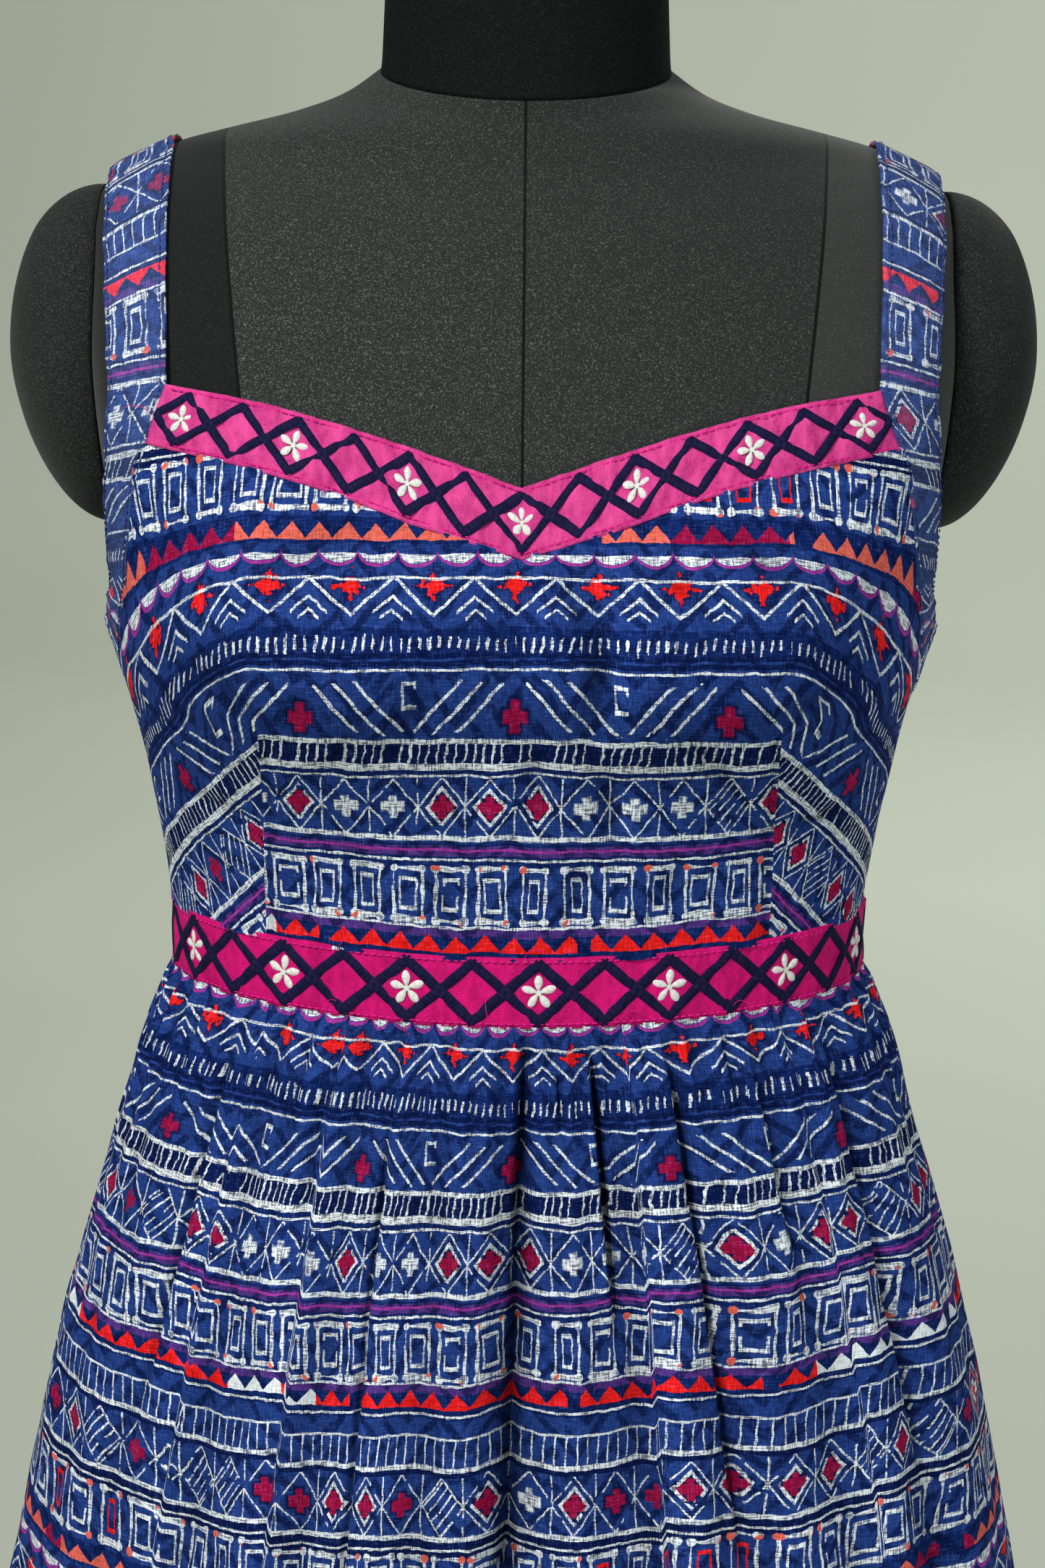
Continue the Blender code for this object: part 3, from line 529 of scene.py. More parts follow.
# row, colour of the ground from there on
GROUNDS = (
    (-4, BLUE), (28, DEEP), (38, NAVY), (40, BLUE), (41, NAVY), (43.3, BLUE), (46, BLUE), (70, NAVY),
    (81, DEEP), (86, BLUE), (113, DEEP), (114.5, PURPLE), (119, DEEP), (123, BLUE), (149, PURPLE),
    (152.3, DEEP), (162, BLUE), (184, NAVY), (186, BLUE), (213, NAVY), (219, BLUE), (245, DEEP),
    (255, BLUE),
)
# row, half the thickness
RULES = (
    (9, 0.5), (44.6, 0.6), (70, 1.0), (80.8, 1.15), (84.6, 0.5), (111.4, 0.8), (120.6, 0.4), (148.5, 0.45),
    (160.6, 0.45), (169.6, 0.5), (182.6, 0.8), (187, 0.4), (212, 0.8), (216.6, 0.4), (244, 0.4),
)


def weave(n, u, v, pitch):
    """A height for the crossing threads of plain cloth."""
    warp = n.noise(n.vector(n.mul(u, 1.0 / pitch), n.mul(v, 0.12 / pitch)), 1.0, 1.0)
    weft = n.noise(n.vector(n.mul(u, 0.12 / pitch), n.mul(v, 1.0 / pitch), 7.0), 1.0, 1.0)
    return n.add(warp, weft)


# The print's motifs. Each gives a list of white lines and a list of dyes as (mask, colour).

def chevrons(n, p):
    """Dark chevrons under the rest."""
    lean = n.add(n.fold(n.muladd(p.v, 0.12, p.u), 14.0), p.v)
    cross_lean = n.sub(p.v, n.fold(n.muladd(p.v, -0.1, n.add(p.u, 9.0)), 22.0))
    strokes = n.any(n.both(n.soft(n.fold(lean, 6.4), 2.1, 0.5), n.soft(p.patchy, 0.51, 0.03)),
                    n.both(n.soft(n.fold(cross_lean, 7.2), 2.3, 0.5), n.ranged(p.patchy, 0.45, 0.51)))
    return [], [(n.mul(strokes, 0.76), INK)]


def scallops(n, p):
    arc = n.mul(n.sub(8.2, n.fold(p.u, 8.2)), 1 / 8.2)
    bow = n.mul(n.root(n.larger(n.sub(1.0, n.mul(arc, arc)), 0.0)), n.muladd(p.patchy, 4.0, 4.6))
    edge = n.sub(n.add(p.r, 2.4), bow)
    return ([n.both(n.less(edge, -1.0), n.more(p.r, -0.9), n.less(p.r, 5.2))],
            [(n.both(n.near(edge, 0.0, 0.72), n.less(p.r, 5.6)), MAGENTA)])


def zigzags(n, p):
    """Zigzags with chevrons below them and a blot in each upper corner."""
    t = n.mul(n.fold(p.u, 17.0), 1 / 17.0)
    z = n.muladd(t, 13.0, n.sub(p.r, 23.0))
    zig = n.any(n.near(z, 0.0, 0.75), n.both(n.near(z, 6.3, 0.65), n.more(t, 0.55)),
                n.both(n.near(z, 11.0, 0.6), n.more(t, 0.74)))
    blot = n.add(n.power(n.mul(t, 14.0), 0.7), n.power(n.size(n.sub(p.r, 12.6)), 0.7))
    blot = n.muladd(n.noise(p.place, 0.42, 1.0), 6.0, n.sub(blot, 1.5))
    return ([n.both(zig, n.near(p.r, 18.2, 8.8))],
            [(n.soft(blot, 5.6, 0.7), INK), (n.soft(blot, 4.8, 0.18), RED)])


def ticks(n, p):
    lot = n.random(n.floor(n.mul(p.u, 1 / 3.9)), 1.0)
    across = n.fold(n.muladd(p.r, 0.10, n.muladd(p.quick[1], 1.2, p.u)), 1.95)
    tick = n.both(n.less(across, n.muladd(lot[0], 0.45, 0.38)), n.less(lot[2], 0.95),
                  n.near(n.muladd(lot[1], 2.2, p.r), 35.6, n.muladd(lot[2], 1.3, 2.1)))
    return [tick], []


def slants(n, p):
    """Slanting strokes, small open squares and crosses."""
    h = n.fold(p.u, 44.0)
    e = n.muladd(n.sub(p.r, 48.0), -1.15, h)
    stroke = n.both(n.less(n.fold(n.sub(e, 2.0), 4.6), 0.92), n.near(e, 12.0, 13.2), n.more(h, 5.0),
                    n.less(n.muladd(p.quick[2], 6.0, n.size(n.sub(p.r, 58.3))), 11.6))
    square = n.larger(n.mul(n.sub(44.0, h), 1.4), n.mul(n.size(n.sub(p.r, 54.5)), 0.80))
    opening = n.both(n.less(n.size(n.sub(p.r, 55.5)), 2.6),
                     n.near(n.fold(n.add(p.u, 20.0), 44.0), 21.0, 1.6))
    rise = n.size(n.sub(p.r, 62.0))
    arms, ends = n.muladd(p.quick[2], 1.6, n.smaller(h, rise)), n.larger(h, rise)
    return ([stroke, n.both(n.near(square, 3.3, 0.62), n.sub(1.0, opening))],
            [(n.both(n.soft(arms, 4.2, 0.8), n.soft(ends, 6.6, 0.8)), INK),
             (n.both(n.soft(arms, 2.9, 0.45), n.soft(ends, 5.2, 0.5)), CRIMSON)])


def ladders(n, p):
    lot = n.random(n.floor(n.mul(p.u, 1 / 3.8)), 2.0)
    across = n.fold(n.muladd(p.r, 0.16, n.muladd(p.quick[1], 1.5, p.u)), 1.9)
    rung = n.both(n.less(across, n.muladd(lot[1], 0.35, 0.28)), n.near(p.r, 75.3, 4.4),
                  n.less(lot[0], 0.86))
    thin = n.both(n.less(n.fold(n.muladd(p.r, 0.05, p.u), 2.5), 0.36), n.near(p.r, 176.2, 6.2))
    return [rung, thin], []


def lattices(n, p):
    """Two rows of diamonds that hold crosses, flowers or smaller diamonds."""
    cell = n.sub(n.modulo(n.add(p.r, 13.5), 100.0), 12.5)
    here = n.both(n.near(cell, 0.0, 12.4), n.more(p.r, 80.0))
    second = n.more(p.r, 150.0)
    kind = n.random(n.floor(n.mul(p.u, 1 / 20.0)), n.muladd(second, 6.0, 1.0))[0]
    across, rise = n.sub(10.0, n.fold(p.u, 10.0)), n.size(cell)
    diamond = n.muladd(across, 1 / 10.0, n.mul(rise, 1 / 12.5))
    slanting = n.near(n.fold(n.muladd(cell, 0.8, p.u), 4.5), 2.2, 0.5)
    lines = n.any(n.near(diamond, 1.0, 0.05), n.more(across, 9.64),
                  n.both(n.near(diamond, 0.62, 0.085), n.less(kind, 0.38)),
                  n.both(slanting, n.more(kind, 0.74), n.less(diamond, 0.95)))
    inked = n.less(n.noise(p.place, 0.16, 1.0), 0.61)
    warm = n.both(second, n.near(kind, 0.50, 0.045))
    thin, far = n.smaller(n.muladd(p.quick[2], 1.2, across), rise), n.larger(across, rise)
    petal = n.both(n.soft(thin, 2.3, 0.3), n.soft(far, 4.9, 0.3), here, n.less(kind, 0.74))
    shadow = n.both(n.soft(thin, 3.4, 0.7), n.soft(far, 6.2, 0.7), here, n.less(kind, 0.46))
    pale = n.near(kind, 0.56, 0.1)
    heart = n.both(n.less(n.add(across, rise), 2.6), warm)
    return ([n.both(lines, here, inked), n.both(petal, pale, n.sub(1.0, heart))],
            [(n.both(n.near(diamond, 0.74, 0.07), here, warm), CORAL), (shadow, INK),
             (n.mul(petal, n.sub(1.0, pale)), CRIMSON), (n.both(heart, here), RED)])


def purple_stripe(n, p):
    return [], [(n.near(p.r, 116.8, 0.5), MAGENTA)]


def boxes(n, p):
    """Upright boxes with smaller ones inside them and dots at their corners."""
    inside = n.both(n.less(p.box, 25.0), n.more(p.r, 120.0))
    bx, by = n.sub(8.75, n.fold(p.u, 8.75)), n.size(n.sub(p.box, 12.4))
    lot = n.random(n.floor(n.mul(p.u, 1 / 17.5)), n.muladd(p.last, 3.0, 5.0))
    wide = n.muladd(lot[0], 2.6, 4.6)
    narrow = n.sub(wide, n.muladd(lot[1], 0.8, 2.4))
    outer = n.larger(n.div(bx, wide), n.mul(by, 1 / 10.9))
    inner = n.larger(n.div(bx, narrow), n.mul(by, 1 / 6.4))
    thick = n.muladd(n.noise(p.place, 0.085, 0.0), 0.26, -0.03)
    opening = n.both(n.less(lot[2], 0.3), n.near(n.sub(p.box, 12.4), -1.6, 2.2),
                     n.more(n.fold(n.add(p.u, 8.75), 17.5), 8.75))
    inner_line = n.both(n.near(inner, 1.0, 0.14), n.sub(1.0, opening), inside)
    tinted = n.both(n.more(lot[1], 0.74), p.last)
    gap = n.add(n.power(n.sub(bx, wide), 2.0), n.power(n.sub(by, 10.9), 2.0))
    dot = n.both(n.less(gap, n.muladd(lot[1], 2.2, 2.0)), n.less(p.box, 26.0), n.more(p.r, 120.0))
    p.coral_dots = n.both(dot, n.more(n.noise(p.place, 0.11, 0.0), 0.60))
    return ([n.both(n.near(outer, 1.0, thick), inside), n.mul(inner_line, n.sub(1.0, tinted)), dot],
            [(n.mul(inner_line, tinted), RED)])


def triangles(n, p):
    """Rows of triangles in two colours each, with gaps between the stretches."""
    peak, tall = n.mul(n.fold(p.u, 5.9), 1 / 5.9), n.mul(n.sub(p.box, 28.6), 1 / 6.2)
    teeth = n.both(n.more(tall, peak), n.near(p.box, 32.0, 3.4), n.more(p.r, 120.0),
                   n.more(n.noise(n.vector(p.u, p.last), 0.02, 0.0), 0.37))
    patch = n.more(n.noise(n.vector(p.u, 3.0), 0.017, 0.0), 0.53)
    pale = n.both(n.more(n.size(n.sub(p.u, 8.0)), 112.0),
                  n.less(n.noise(n.vector(p.u, 9.0), 0.014, 0.0), 0.50))
    return [], [(teeth, n.mix(p.last, n.mix(pale, RED, WHITE), n.mix(patch, CORAL, CRIMSON)))]


def print_cloth(name, painted_light):
    """Blue cotton with bands of hand-drawn geometric motifs, charted in millimetres. The second argument
    mixes a paler blue over all of it, as painted light.
    """
    mat, surface, n = shader(name, 0.78, 0.0, 0.03)
    u0, v0 = n.uv()
    place = n.vector(u0, v0)
    wander, quick = n.noises(place, 0.055, 2.0), n.noises(place, 0.33, 1.0)
    u = n.muladd(wander[0], 3.4, n.muladd(quick[0], 0.9, u0))
    v = n.muladd(wander[1], 3.0, n.muladd(quick[1], 1.0, v0))
    r = n.sub(n.modulo(n.add(v, 1.0), REPEAT), 3.0)
    level = n.mul(n.add(r, HEAD), 1.0 / (REPEAT + HEAD))
    ruled = [(-HEAD, (0, 0, 0))]
    for row, half in RULES:
        ruled += [(row - half, (1, 1, 1)), (row + half, (0, 0, 0))]
    colour, white = n.bands(level, GROUNDS), n.bands(level, ruled)
    p = SimpleNamespace(u=u, v=v, r=r, place=place, quick=quick, patchy=n.noise(place, 0.05, 1.0),
                        box=n.modulo(n.sub(r, 27.0), 96.0), last=n.more(r, 200.0))
    for motif in (chevrons, scallops, zigzags, ticks, slants, ladders, lattices, purple_stripe, boxes,
                  triangles):
        lines, dyes = motif(n, p)
        white = n.any(white, *lines)
        for mask, dye in dyes:
            colour = n.mix(mask, colour, dye)
    # the ink misses some threads
    fine = weave(n, u0, v0, 0.62)
    ink = n.muladd(n.ranged(fine, 0.88, 1.04), 0.72, 0.28)
    # the last of these mixes a paler blue over the whole cloth, as painted light on the straps that face up
    # to the lamp
    for mask, dye in ((n.mul(white, ink), WHITE), (p.coral_dots, CORAL),
                      (n.ranged(fine, 1.08, 1.34, 0.0, 0.22), PALE_THREAD), (painted_light, PAINTED_LIGHT_BLUE)):
        colour = n.mix(mask, colour, dye)
    shade = n.ranged(fine, 0.7, 1.3, 0.58, 1.34)
    slow = n.ranged(n.noise(place, 0.02, 3.0), 0.3, 0.7, 0.9, 1.1)
    # the stored fold value paints shade into valleys and highlight onto ridges
    painted_fold_shading = n.muladd(n.make("Attribute", attribute_name="painted_fold_shading")["Fac"], -0.68, 1.0)
    n.put(surface.inputs["Base Color"], n.scaled(colour, n.both(shade, slow, painted_fold_shading)))
    n.bump(surface, fine, 0.35, 0.0006)
    return mat


def band_cloth(name, pucker_shade, plain, light, upright):
    """Fine pink cotton, darker in the hollows of its puckers as painted shade, with painted highlights on
    the raised threads.
    """
    mat, surface, n = shader(name, 0.62, 0.0, 0.07)
    u, v = n.uv()
    fine = weave(n, u, v, 0.4)
    soft = n.noise(n.vector(u, n.mul(v, 0.4)), 0.22, 2.0)
    puckers = n.noise(n.vector(u, n.mul(n.muladd(u, 0.35, v), upright)), 0.095, 2.0)
    # painted shade: darker where the puckers and slow folds sink
    colour = n.mix(n.ranged(n.mul(n.add(soft, puckers), 0.5), 0.40, 0.60), pucker_shade, plain)
    # painted highlight on the raised threads
    colour = n.mix(n.ranged(fine, 0.75, 1.2, 0.0, 0.3), colour, light)
    n.put(surface.inputs["Base Color"], colour)
    n.bump(surface, n.muladd(puckers, 5.0, n.muladd(soft, 2.2, fine)), 0.5, 0.0009)
    return mat


def thread_cloth(name, dark, light):
    """Satin stitch: close threads that run along u."""
    mat, surface, n = shader(name, 0.6, 0.0, 0.03)
    u, v = n.uv()
    thread = n.noise(n.vector(n.mul(u, 0.25), n.mul(v, 3.2)), 1.0, 1.0)
    n.put(surface.inputs["Base Color"], n.mix(n.ranged(thread, 0.3, 0.7), dark, light))
    n.bump(surface, thread, 0.6, 0.0005)
    return mat


def knit(name, dark, light, seamed, nap, speck):
    """The form's cover: charcoal knit with light flecks. A seamed one has side panels, the right one lighter
    as painted light and the left one darker as painted shade, and painted shade towards the top and the
    right.
    """
    mat, surface, n = shader(name, 0.85, nap, 0.1)
    place = n.own_place()
    x, y, z = n.split(place)
    rows = n.noise(n.vector(n.mul(x, 900), n.mul(y, 900), n.mul(z, 2600)), 1.0, 2.0)
    fleck = n.ranged(n.noise(place, 1500.0, 1.0), 0.56, 0.68)
    colour = n.mix(n.ranged(rows, 0.3, 0.7), dark, light)
    colour = n.mix(n.mul(fleck, speck), colour, KNIT_FLECK)
    if seamed:
        side = n.size(n.sub(x, float(SHIFT[0])))
        past = n.sub(side, n.muladd(n.sub(z, 1.26), 0.11, 0.1145))
        dim = n.add(n.ranged(z, 1.29, 1.38, 0.0, 0.34), n.ranged(x, -0.05, 0.10, 0.0, 0.36))
        left = n.less(x, 0.0)
        seam = n.any(n.near(past, 0.0, 0.0007), n.mul(n.less(side, 0.0006), n.less(y, 0.0)))
        # painted shade towards the top and the right; side panels: right lighter as painted light, left
        # darker as painted shade
        for mask, dye in ((dim, KNIT_SHADED),
                          (n.mul(n.more(past, 0.0), n.muladd(left, 0.40, 0.45)), n.mix(left, *KNIT_SIDES_LIT_AND_SHADED)),
                          (seam, KNIT_SEAM)):
            colour = n.mix(mask, colour, dye)
        rows = n.sub(rows, n.mul(seam, 2.5))
    n.put(surface.inputs["Base Color"], colour)
    n.bump(surface, rows, 0.5, 0.0006)
    return mat


def paint(name, colour, rough):
    mat, surface, n = shader(name, rough)
    speck = n.noise(n.own_place(), 350.0, 2.0)
    lighter = tuple(c * 1.5 for c in colour)
    n.put(surface.inputs["Base Color"], n.mix(n.ranged(speck, 0.4, 0.7), colour, lighter))
    n.put(surface.inputs["Roughness"], n.ranged(speck, 0.3, 0.7, rough - 0.06, rough + 0.08))
    n.bump(surface, speck, 0.12, 0.0004)
    return mat


PRINT = print_cloth("printed_cotton", 0.0)
# the straps' copy of the print is paler all over: painted light where they face up to the lamp
PRINT_STRAP_LIT = print_cloth("printed_cotton_strap_lit", 0.15)
# the waistband's pink is darker as painted shade under the bust; the neckline band's copy is paler as
# painted light
PINK_SHADED = band_cloth("band_cotton", (0.38, 0.0010, 0.088), (0.60, 0.0040, 0.152), (0.78, 0.018, 0.26), 0.22)
PINK_LIT = band_cloth("band_cotton_lit", (0.40, 0.014, 0.150), (0.66, 0.052, 0.262),
                       (0.80, 0.12, 0.37), 0.9)
NAVY_THREAD = thread_cloth("navy_thread", (0.003, 0.003, 0.016), (0.016, 0.014, 0.060))
WHITE_THREAD = thread_cloth("white_thread", (0.50, 0.50, 0.47), (0.80, 0.80, 0.77))
PINK_THREAD = thread_cloth("pink_thread", (0.50, 0.004, 0.15), (0.80, 0.03, 0.30))
BLUE_THREAD = thread_cloth("blue_thread", (0.02, 0.04, 0.16), (0.05, 0.09, 0.30))
KNIT = knit("form_knit", (0.0085, 0.0115, 0.0108), (0.0270, 0.0330, 0.0305), True, 0.12, 0.55)
KNIT_CAP = knit("form_knit_cap", (0.0050, 0.0065, 0.0065), (0.0150, 0.0185, 0.0180), False, 0.06, 0.25)
KNIT_NECK = knit("form_knit_neck", (0.0010, 0.0018, 0.0017), (0.0040, 0.0062, 0.0058), False, 0.0, 0.06)
METAL = paint("stand_paint", (0.010, 0.010, 0.011), 0.42)


def finish_piece(piece, mat, slot, *nodes):
    piece.data.materials.append(mat)
    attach(piece, "root")
    if nodes:
        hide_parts(*nodes)
    return piece


def thicken(piece, thickness):
    solid = piece.modifiers.new("wall", "SOLIDIFY")
    solid.thickness, solid.offset = thickness, -1.0


# Dress form

def form_body():
    cols = 132
    z = np.concatenate([np.linspace(FORM_FOOT, 1.10, 60, endpoint=False),
                        np.linspace(1.10, 1.335, 60, endpoint=False),
                        np.linspace(1.335, NECK_BASE, 48)])[::-1]
    a = np.arange(cols) * 360 / cols
    p = body(a[None, :], z[:, None])
    p[-1, :, :2] *= 0.975
    verts = np.concatenate([p.reshape(-1, 3), [[0, NECK_AXIS, NECK_BASE], [0, NECK_AXIS, FORM_FOOT]]])
    made = new_piece("form_torso_cover", verts, closed_faces(len(z), cols))
    finish_piece(made, KNIT, "form_knit", "form_torso")
    ring = p[0] + [0, 0, 0.0003]
    rows = [ring]
    # height, width as a share of the seam, share of the seam's tilt
    for height, width, tilt in (
            (1.3995, 0.9965, 0.95), (1.402, 0.992, 0.90), (1.406, 0.988, 0.82), (1.412, 0.984, 0.72),
            (1.425, 0.975, 0.45), (1.440, 0.966, 0.20), (1.456, 0.960, 0.08), (1.4715, 0.956, 0.0),
            (1.4745, 0.948, 0.0), (NECK_TOP, 0.930, 0.0), (NECK_TOP + 0.0002, 0.90, 0.0)):
        row = ring.copy()
        row[:, 0] *= width
        row[:, 1] = NECK_AXIS + (row[:, 1] - NECK_AXIS) * width
        row[:, 2] = height + (ring[:, 2] - NECK_BASE) * tilt
        rows.append(row)
    q = np.array(rows[::-1])
    tips = [[0, NECK_AXIS, NECK_TOP + 0.0002], [0, NECK_AXIS, 1.3985]]
    made = new_piece("form_neck_cover", np.concatenate([q.reshape(-1, 3), tips]), closed_faces(len(q), cols))
    finish_piece(made, KNIT_NECK, "form_knit", "form_neck")


def form_cap(name, side, node):
    spokes, rings = 84, 30
    turn = np.arange(spokes) * 2 * math.pi / spokes

    def place(reach, outside):
        y = CAP_HALF_DEPTH * reach * np.cos(turn)
        z = CAP_CENTRE + CAP_HALF_HEIGHT * reach * np.sin(turn)
        half, front, back, square = figure(z)
        depth = np.where(y < 0, front, back)
        x = half * (1 - (np.abs(y) / depth) ** square) ** (1 / square) + 0.0005
        if outside:
            x = x + 0.002 + CAP_BULGE * math.sqrt(max(0.0, 1 - reach * reach))
        return np.stack([x * side, y, z], 1)

    rows = [place(math.sin(math.pi / 2 * (k + 0.5) / rings), True) for k in range(rings)]
    rows += [place(1.0, True), place(1.0, False), place(0.9, False)]
    p = np.array(rows)
    tip = place(0.0, True)[:1]
    verts = np.concatenate([p.reshape(-1, 3), tip])
    faces = grid_faces(len(p), spokes, True).tolist()
    faces += [(i, (i + 1) % spokes, len(verts) - 1) for i in range(spokes)]
    finish_piece(new_piece(name, verts, faces), KNIT_CAP, "form_knit", node)


def lathe(name, profile, segments, node):
    """A turned metal part. The profile's rows are radius and height."""
    turn = np.arange(segments) * 2 * math.pi / segments
    p = np.array([np.stack([r * np.sin(turn), -r * np.cos(turn), np.full(segments, z)], 1)
                  for r, z in profile])
    verts = np.concatenate([p.reshape(-1, 3), [[0, 0, profile[0][1]], [0, 0, profile[-1][1]]]])
    made = new_piece(name, verts, closed_faces(len(p), segments))
    edge = made.modifiers.new("edges", "EDGE_SPLIT")
    edge.split_angle = math.radians(35)
    return finish_piece(made, METAL, "stand_metal", node)


form_body()
form_cap("form_cap_left_cover", -1, "form_cap_left")
form_cap("form_cap_right_cover", 1, "form_cap_right")
lathe("stand_pole_tube",
      ((0.032, 0.7197), (0.034, 0.7177), (0.034, 0.6957), (0.031, 0.6927), (0.016, 0.6925), (0.016, 0.0183)),
      72, "stand_pole")
lathe("stand_base_plate",
      ((0.034, 0.018), (0.160, 0.015), (0.184, 0.0125), (0.1875, 0.0115), (0.1895, 0.0095), (0.190, 0.007),
       (0.190, 0.002), (0.188, 0.0)),
      144, "stand_base")

# Bodice

def bell(x, width):
    return np.exp(-(x / width) ** 2)


def waist_pull(x, z):
    """Small gathers where the bodice meets the waistband."""
    return wavy((0.6, 150, 0, 0.0), (0.4, 263, 30, 2.2))(x, z) * np.exp(-(z - WAIST_TOP) / 0.022)


def paint_fold_shading(piece, amount):
    """Gives a piece painted shade in its valleys and painted highlight on its ridges, one value for each
    point, for its material.
    """
    piece.data.attributes.new("painted_fold_shading", "FLOAT", "POINT").data.foreach_set("value", amount.ravel())


def eased(v):
    """The print's rows where the cloth stretches over the bust."""
    return v + 2.6 * step(-6, 8, v) * (1 - step(85, 125, v)) + 3.6 * bell(v - 45, 17)


def bodice_front():
    angle, z, split = panel(neck_curve, False)
    side, lift = np.sign(angle), lifted(angle, z)
    p = cloth(angle, lift, CLOTH)
    u = along(p)
    x = p[..., 0]
    # length of cloth up the centre from the waist
    line = cloth(np.zeros(400), np.linspace(WAIST_TOP, 1.26, 400), CLOTH)
    climb = running(line)
    centre = WAIST_ROW - PRINT_SCALE * np.interp(z, line[:, 2], climb)
    apex = WAIST_ROW - PRINT_SCALE * float(np.interp(DART_TOP, line[:, 2], climb))
    past = np.abs(u) - np.abs(u[:, split[1]])[:, None]
    past = np.maximum(past, 0)
    blend = 0.0005 + 0.0115 * step(DART_TOP - 0.012, DART_TOP + 0.012, z)
    soft = (np.sqrt(past ** 2 + blend ** 2) - blend) * (1 - 1.7 * past)
    lean = np.sin(DART_SLANT) * (1 - 0.68 * step(DART_TOP - 0.01, DART_TOP + 0.085, z))
    v_plain = centre - 1000 * soft * lean
    below = np.maximum(DART_TOP - z, 0)
    v_dart = apex + 1000 * below * (PRINT_SCALE / 1000 * math.cos(DART_SLANT)) - 1000 * soft * lean
    v_side = np.where(below > 0, v_dart, v_plain)
    u_side = 1000 * (u + side * below * math.sin(DART_SLANT))
    uv = np.stack([1000 * u, eased(v_plain)], -1)
    other = np.stack([u_side, eased(v_side)], -1)
    # dart seams, a few soft drags from the bust and along the waist seam
    groove = bell(np.abs(x) - DART_X, 0.0016) * step(DART_TOP + 0.004, DART_TOP - 0.012, z)
    drag = wavy((0.5, 60, 22, 0.3), (0.35, 118, -60, 1.9), (0.25, 34, 130, 4.0))(x, z)
    pull = waist_pull(x, z)
    neck_low = neck_curve(np.minimum(np.abs(x) / 0.1524, 1))[1]
    tight = wavy((0.5, 140, 60, 1.0), (0.4, 330, 20, 0.4))(x, z)
    tight = tight * np.exp(-np.maximum(neck_low - z, 0) / 0.010)
    fold = creased(x, z, CREASES)
    out = -0.0009 * groove + 0.00055 * drag + 0.0010 * pull + 0.0007 * tight + fold
    p = p + outward(angle, lift) * out[..., None]
    made = grid_piece("bodice_front_cloth", p, uv, other, split)
    # painted shade in the creases and dart grooves, painted highlight on the ridges
    paint_fold_shading(made, np.clip(-fold / 0.0022, -0.45, 1.0) * 0.80 + 0.5 * groove)
    return finish_piece(made, PRINT, "printed_cotton", "bodice_front")


def bodice_back():
    angle, z, _ = panel(back_curve, True, 70, 30, 34)
    p = cloth(angle, lifted(angle, z), CLOTH)
    u = along(p)
    uv = np.stack([1000 * u + 37, WAIST_ROW - 950 * (z - WAIST_TOP)], -1)
    x = p[..., 0]
    drag = wavy((0.5, 50, 30, 1.3), (0.35, 108, -70, 0.9), (0.3, 14, 120, 2.0))(x, z)
    p = p + outward(angle, z) * (0.0007 * drag + 0.0008 * waist_pull(x, z))[..., None]
    made = grid_piece("bodice_back_cloth", p, uv)
    return finish_piece(made, PRINT, "printed_cotton", "bodice_back")


def strap(name, side, node):
    (fi, fo), (bi, bo) = strap_path(False), strap_path(True)
    inner, outer = np.concatenate([fi, bi[-2:0:-1]]), np.concatenate([fo, bo[-2:0:-1]])
    share = np.linspace(0, 1, 15)[:, None]
    angle = inner[None, :, 0] + (outer[:, 0] - inner[:, 0])[None] * share
    z = inner[None, :, 1] + (outer[:, 1] - inner[:, 1])[None] * share
    low_part = 1 - step(UNDERARM_HIGH, UNDERARM_TURN, z)
    edge = np.minimum(share, 1 - share)
    stitched = -0.00045 * bell(edge - 0.09, 0.035)
    p = cloth(angle, z, CLOTH + 0.0002 + UNDERARM_FLARE * share ** 2 * low_part + stitched)
    run = running(p.mean(0))
    front = len(fi)
    mark = float(np.interp(1.312, z[7][:front], run[:front]))
    width = 1000 * np.linalg.norm(p - p[7][None], axis=-1) * np.sign(share - 0.5)
    uv = np.stack([width + 14 + 47 * (side < 0), 156 + 1000 * (run - mark)[None] + 0.2 * width], -1)
    wave = 0.0004 * np.sin(run * 210 + 1.0)[None] * np.ones_like(z) + 0.0003 * np.sin(run * 470 + 3 * share)
    p = p + outward(angle, z) * wave[..., None]
    p[..., 0] *= side
    if side < 0:
        p, uv = p[::-1], uv[::-1]
    made = grid_piece(name, p, uv, wrap=True)
    thicken(made, 0.0011)
    return finish_piece(made, PRINT_STRAP_LIT, "printed_cotton", node), angle, z


def neck_band_place(share, down):
    """Angle and height on the neck band: share runs across it from -1 to 1, and down from 0 to 1."""
    high, low = neck_curve(np.abs(share))
    z = high + (low - high) * down
    x = np.abs(share) * (STRAP_EDGES[5][1] + (STRAP_EDGES[3][1] - STRAP_EDGES[5][1]) * down)
    return np.copysign(angle_at(x, z), share), z


def neck_band():
    cols, strips = 260, 16
    place = np.linspace(-1, 1, cols + 1)[None]
    down = np.linspace(0, 1, strips + 1)[:, None]
    angle, z = neck_band_place(place, down)
    pucker = wavy((0.5, 34, 3, 0.0), (0.5, 61, -4, 1.2), (0.3, 127, 5, 0.5))(place, down)
    stitch = -0.0005 * bell(down - 0.90, 0.03) - 0.0003 * bell(down - 0.05, 0.03)
    p = cloth(angle, z, BAND + 0.0008 * pucker + stitch)
    uv = 1000 * np.stack([along(p), np.broadcast_to(down * 0.028, z.shape)], -1)
    made = grid_piece("neck_band_cloth", p, uv)
    thicken(made, 0.0014)
    return finish_piece(made, PINK_LIT, "band_cotton", "neck_band")


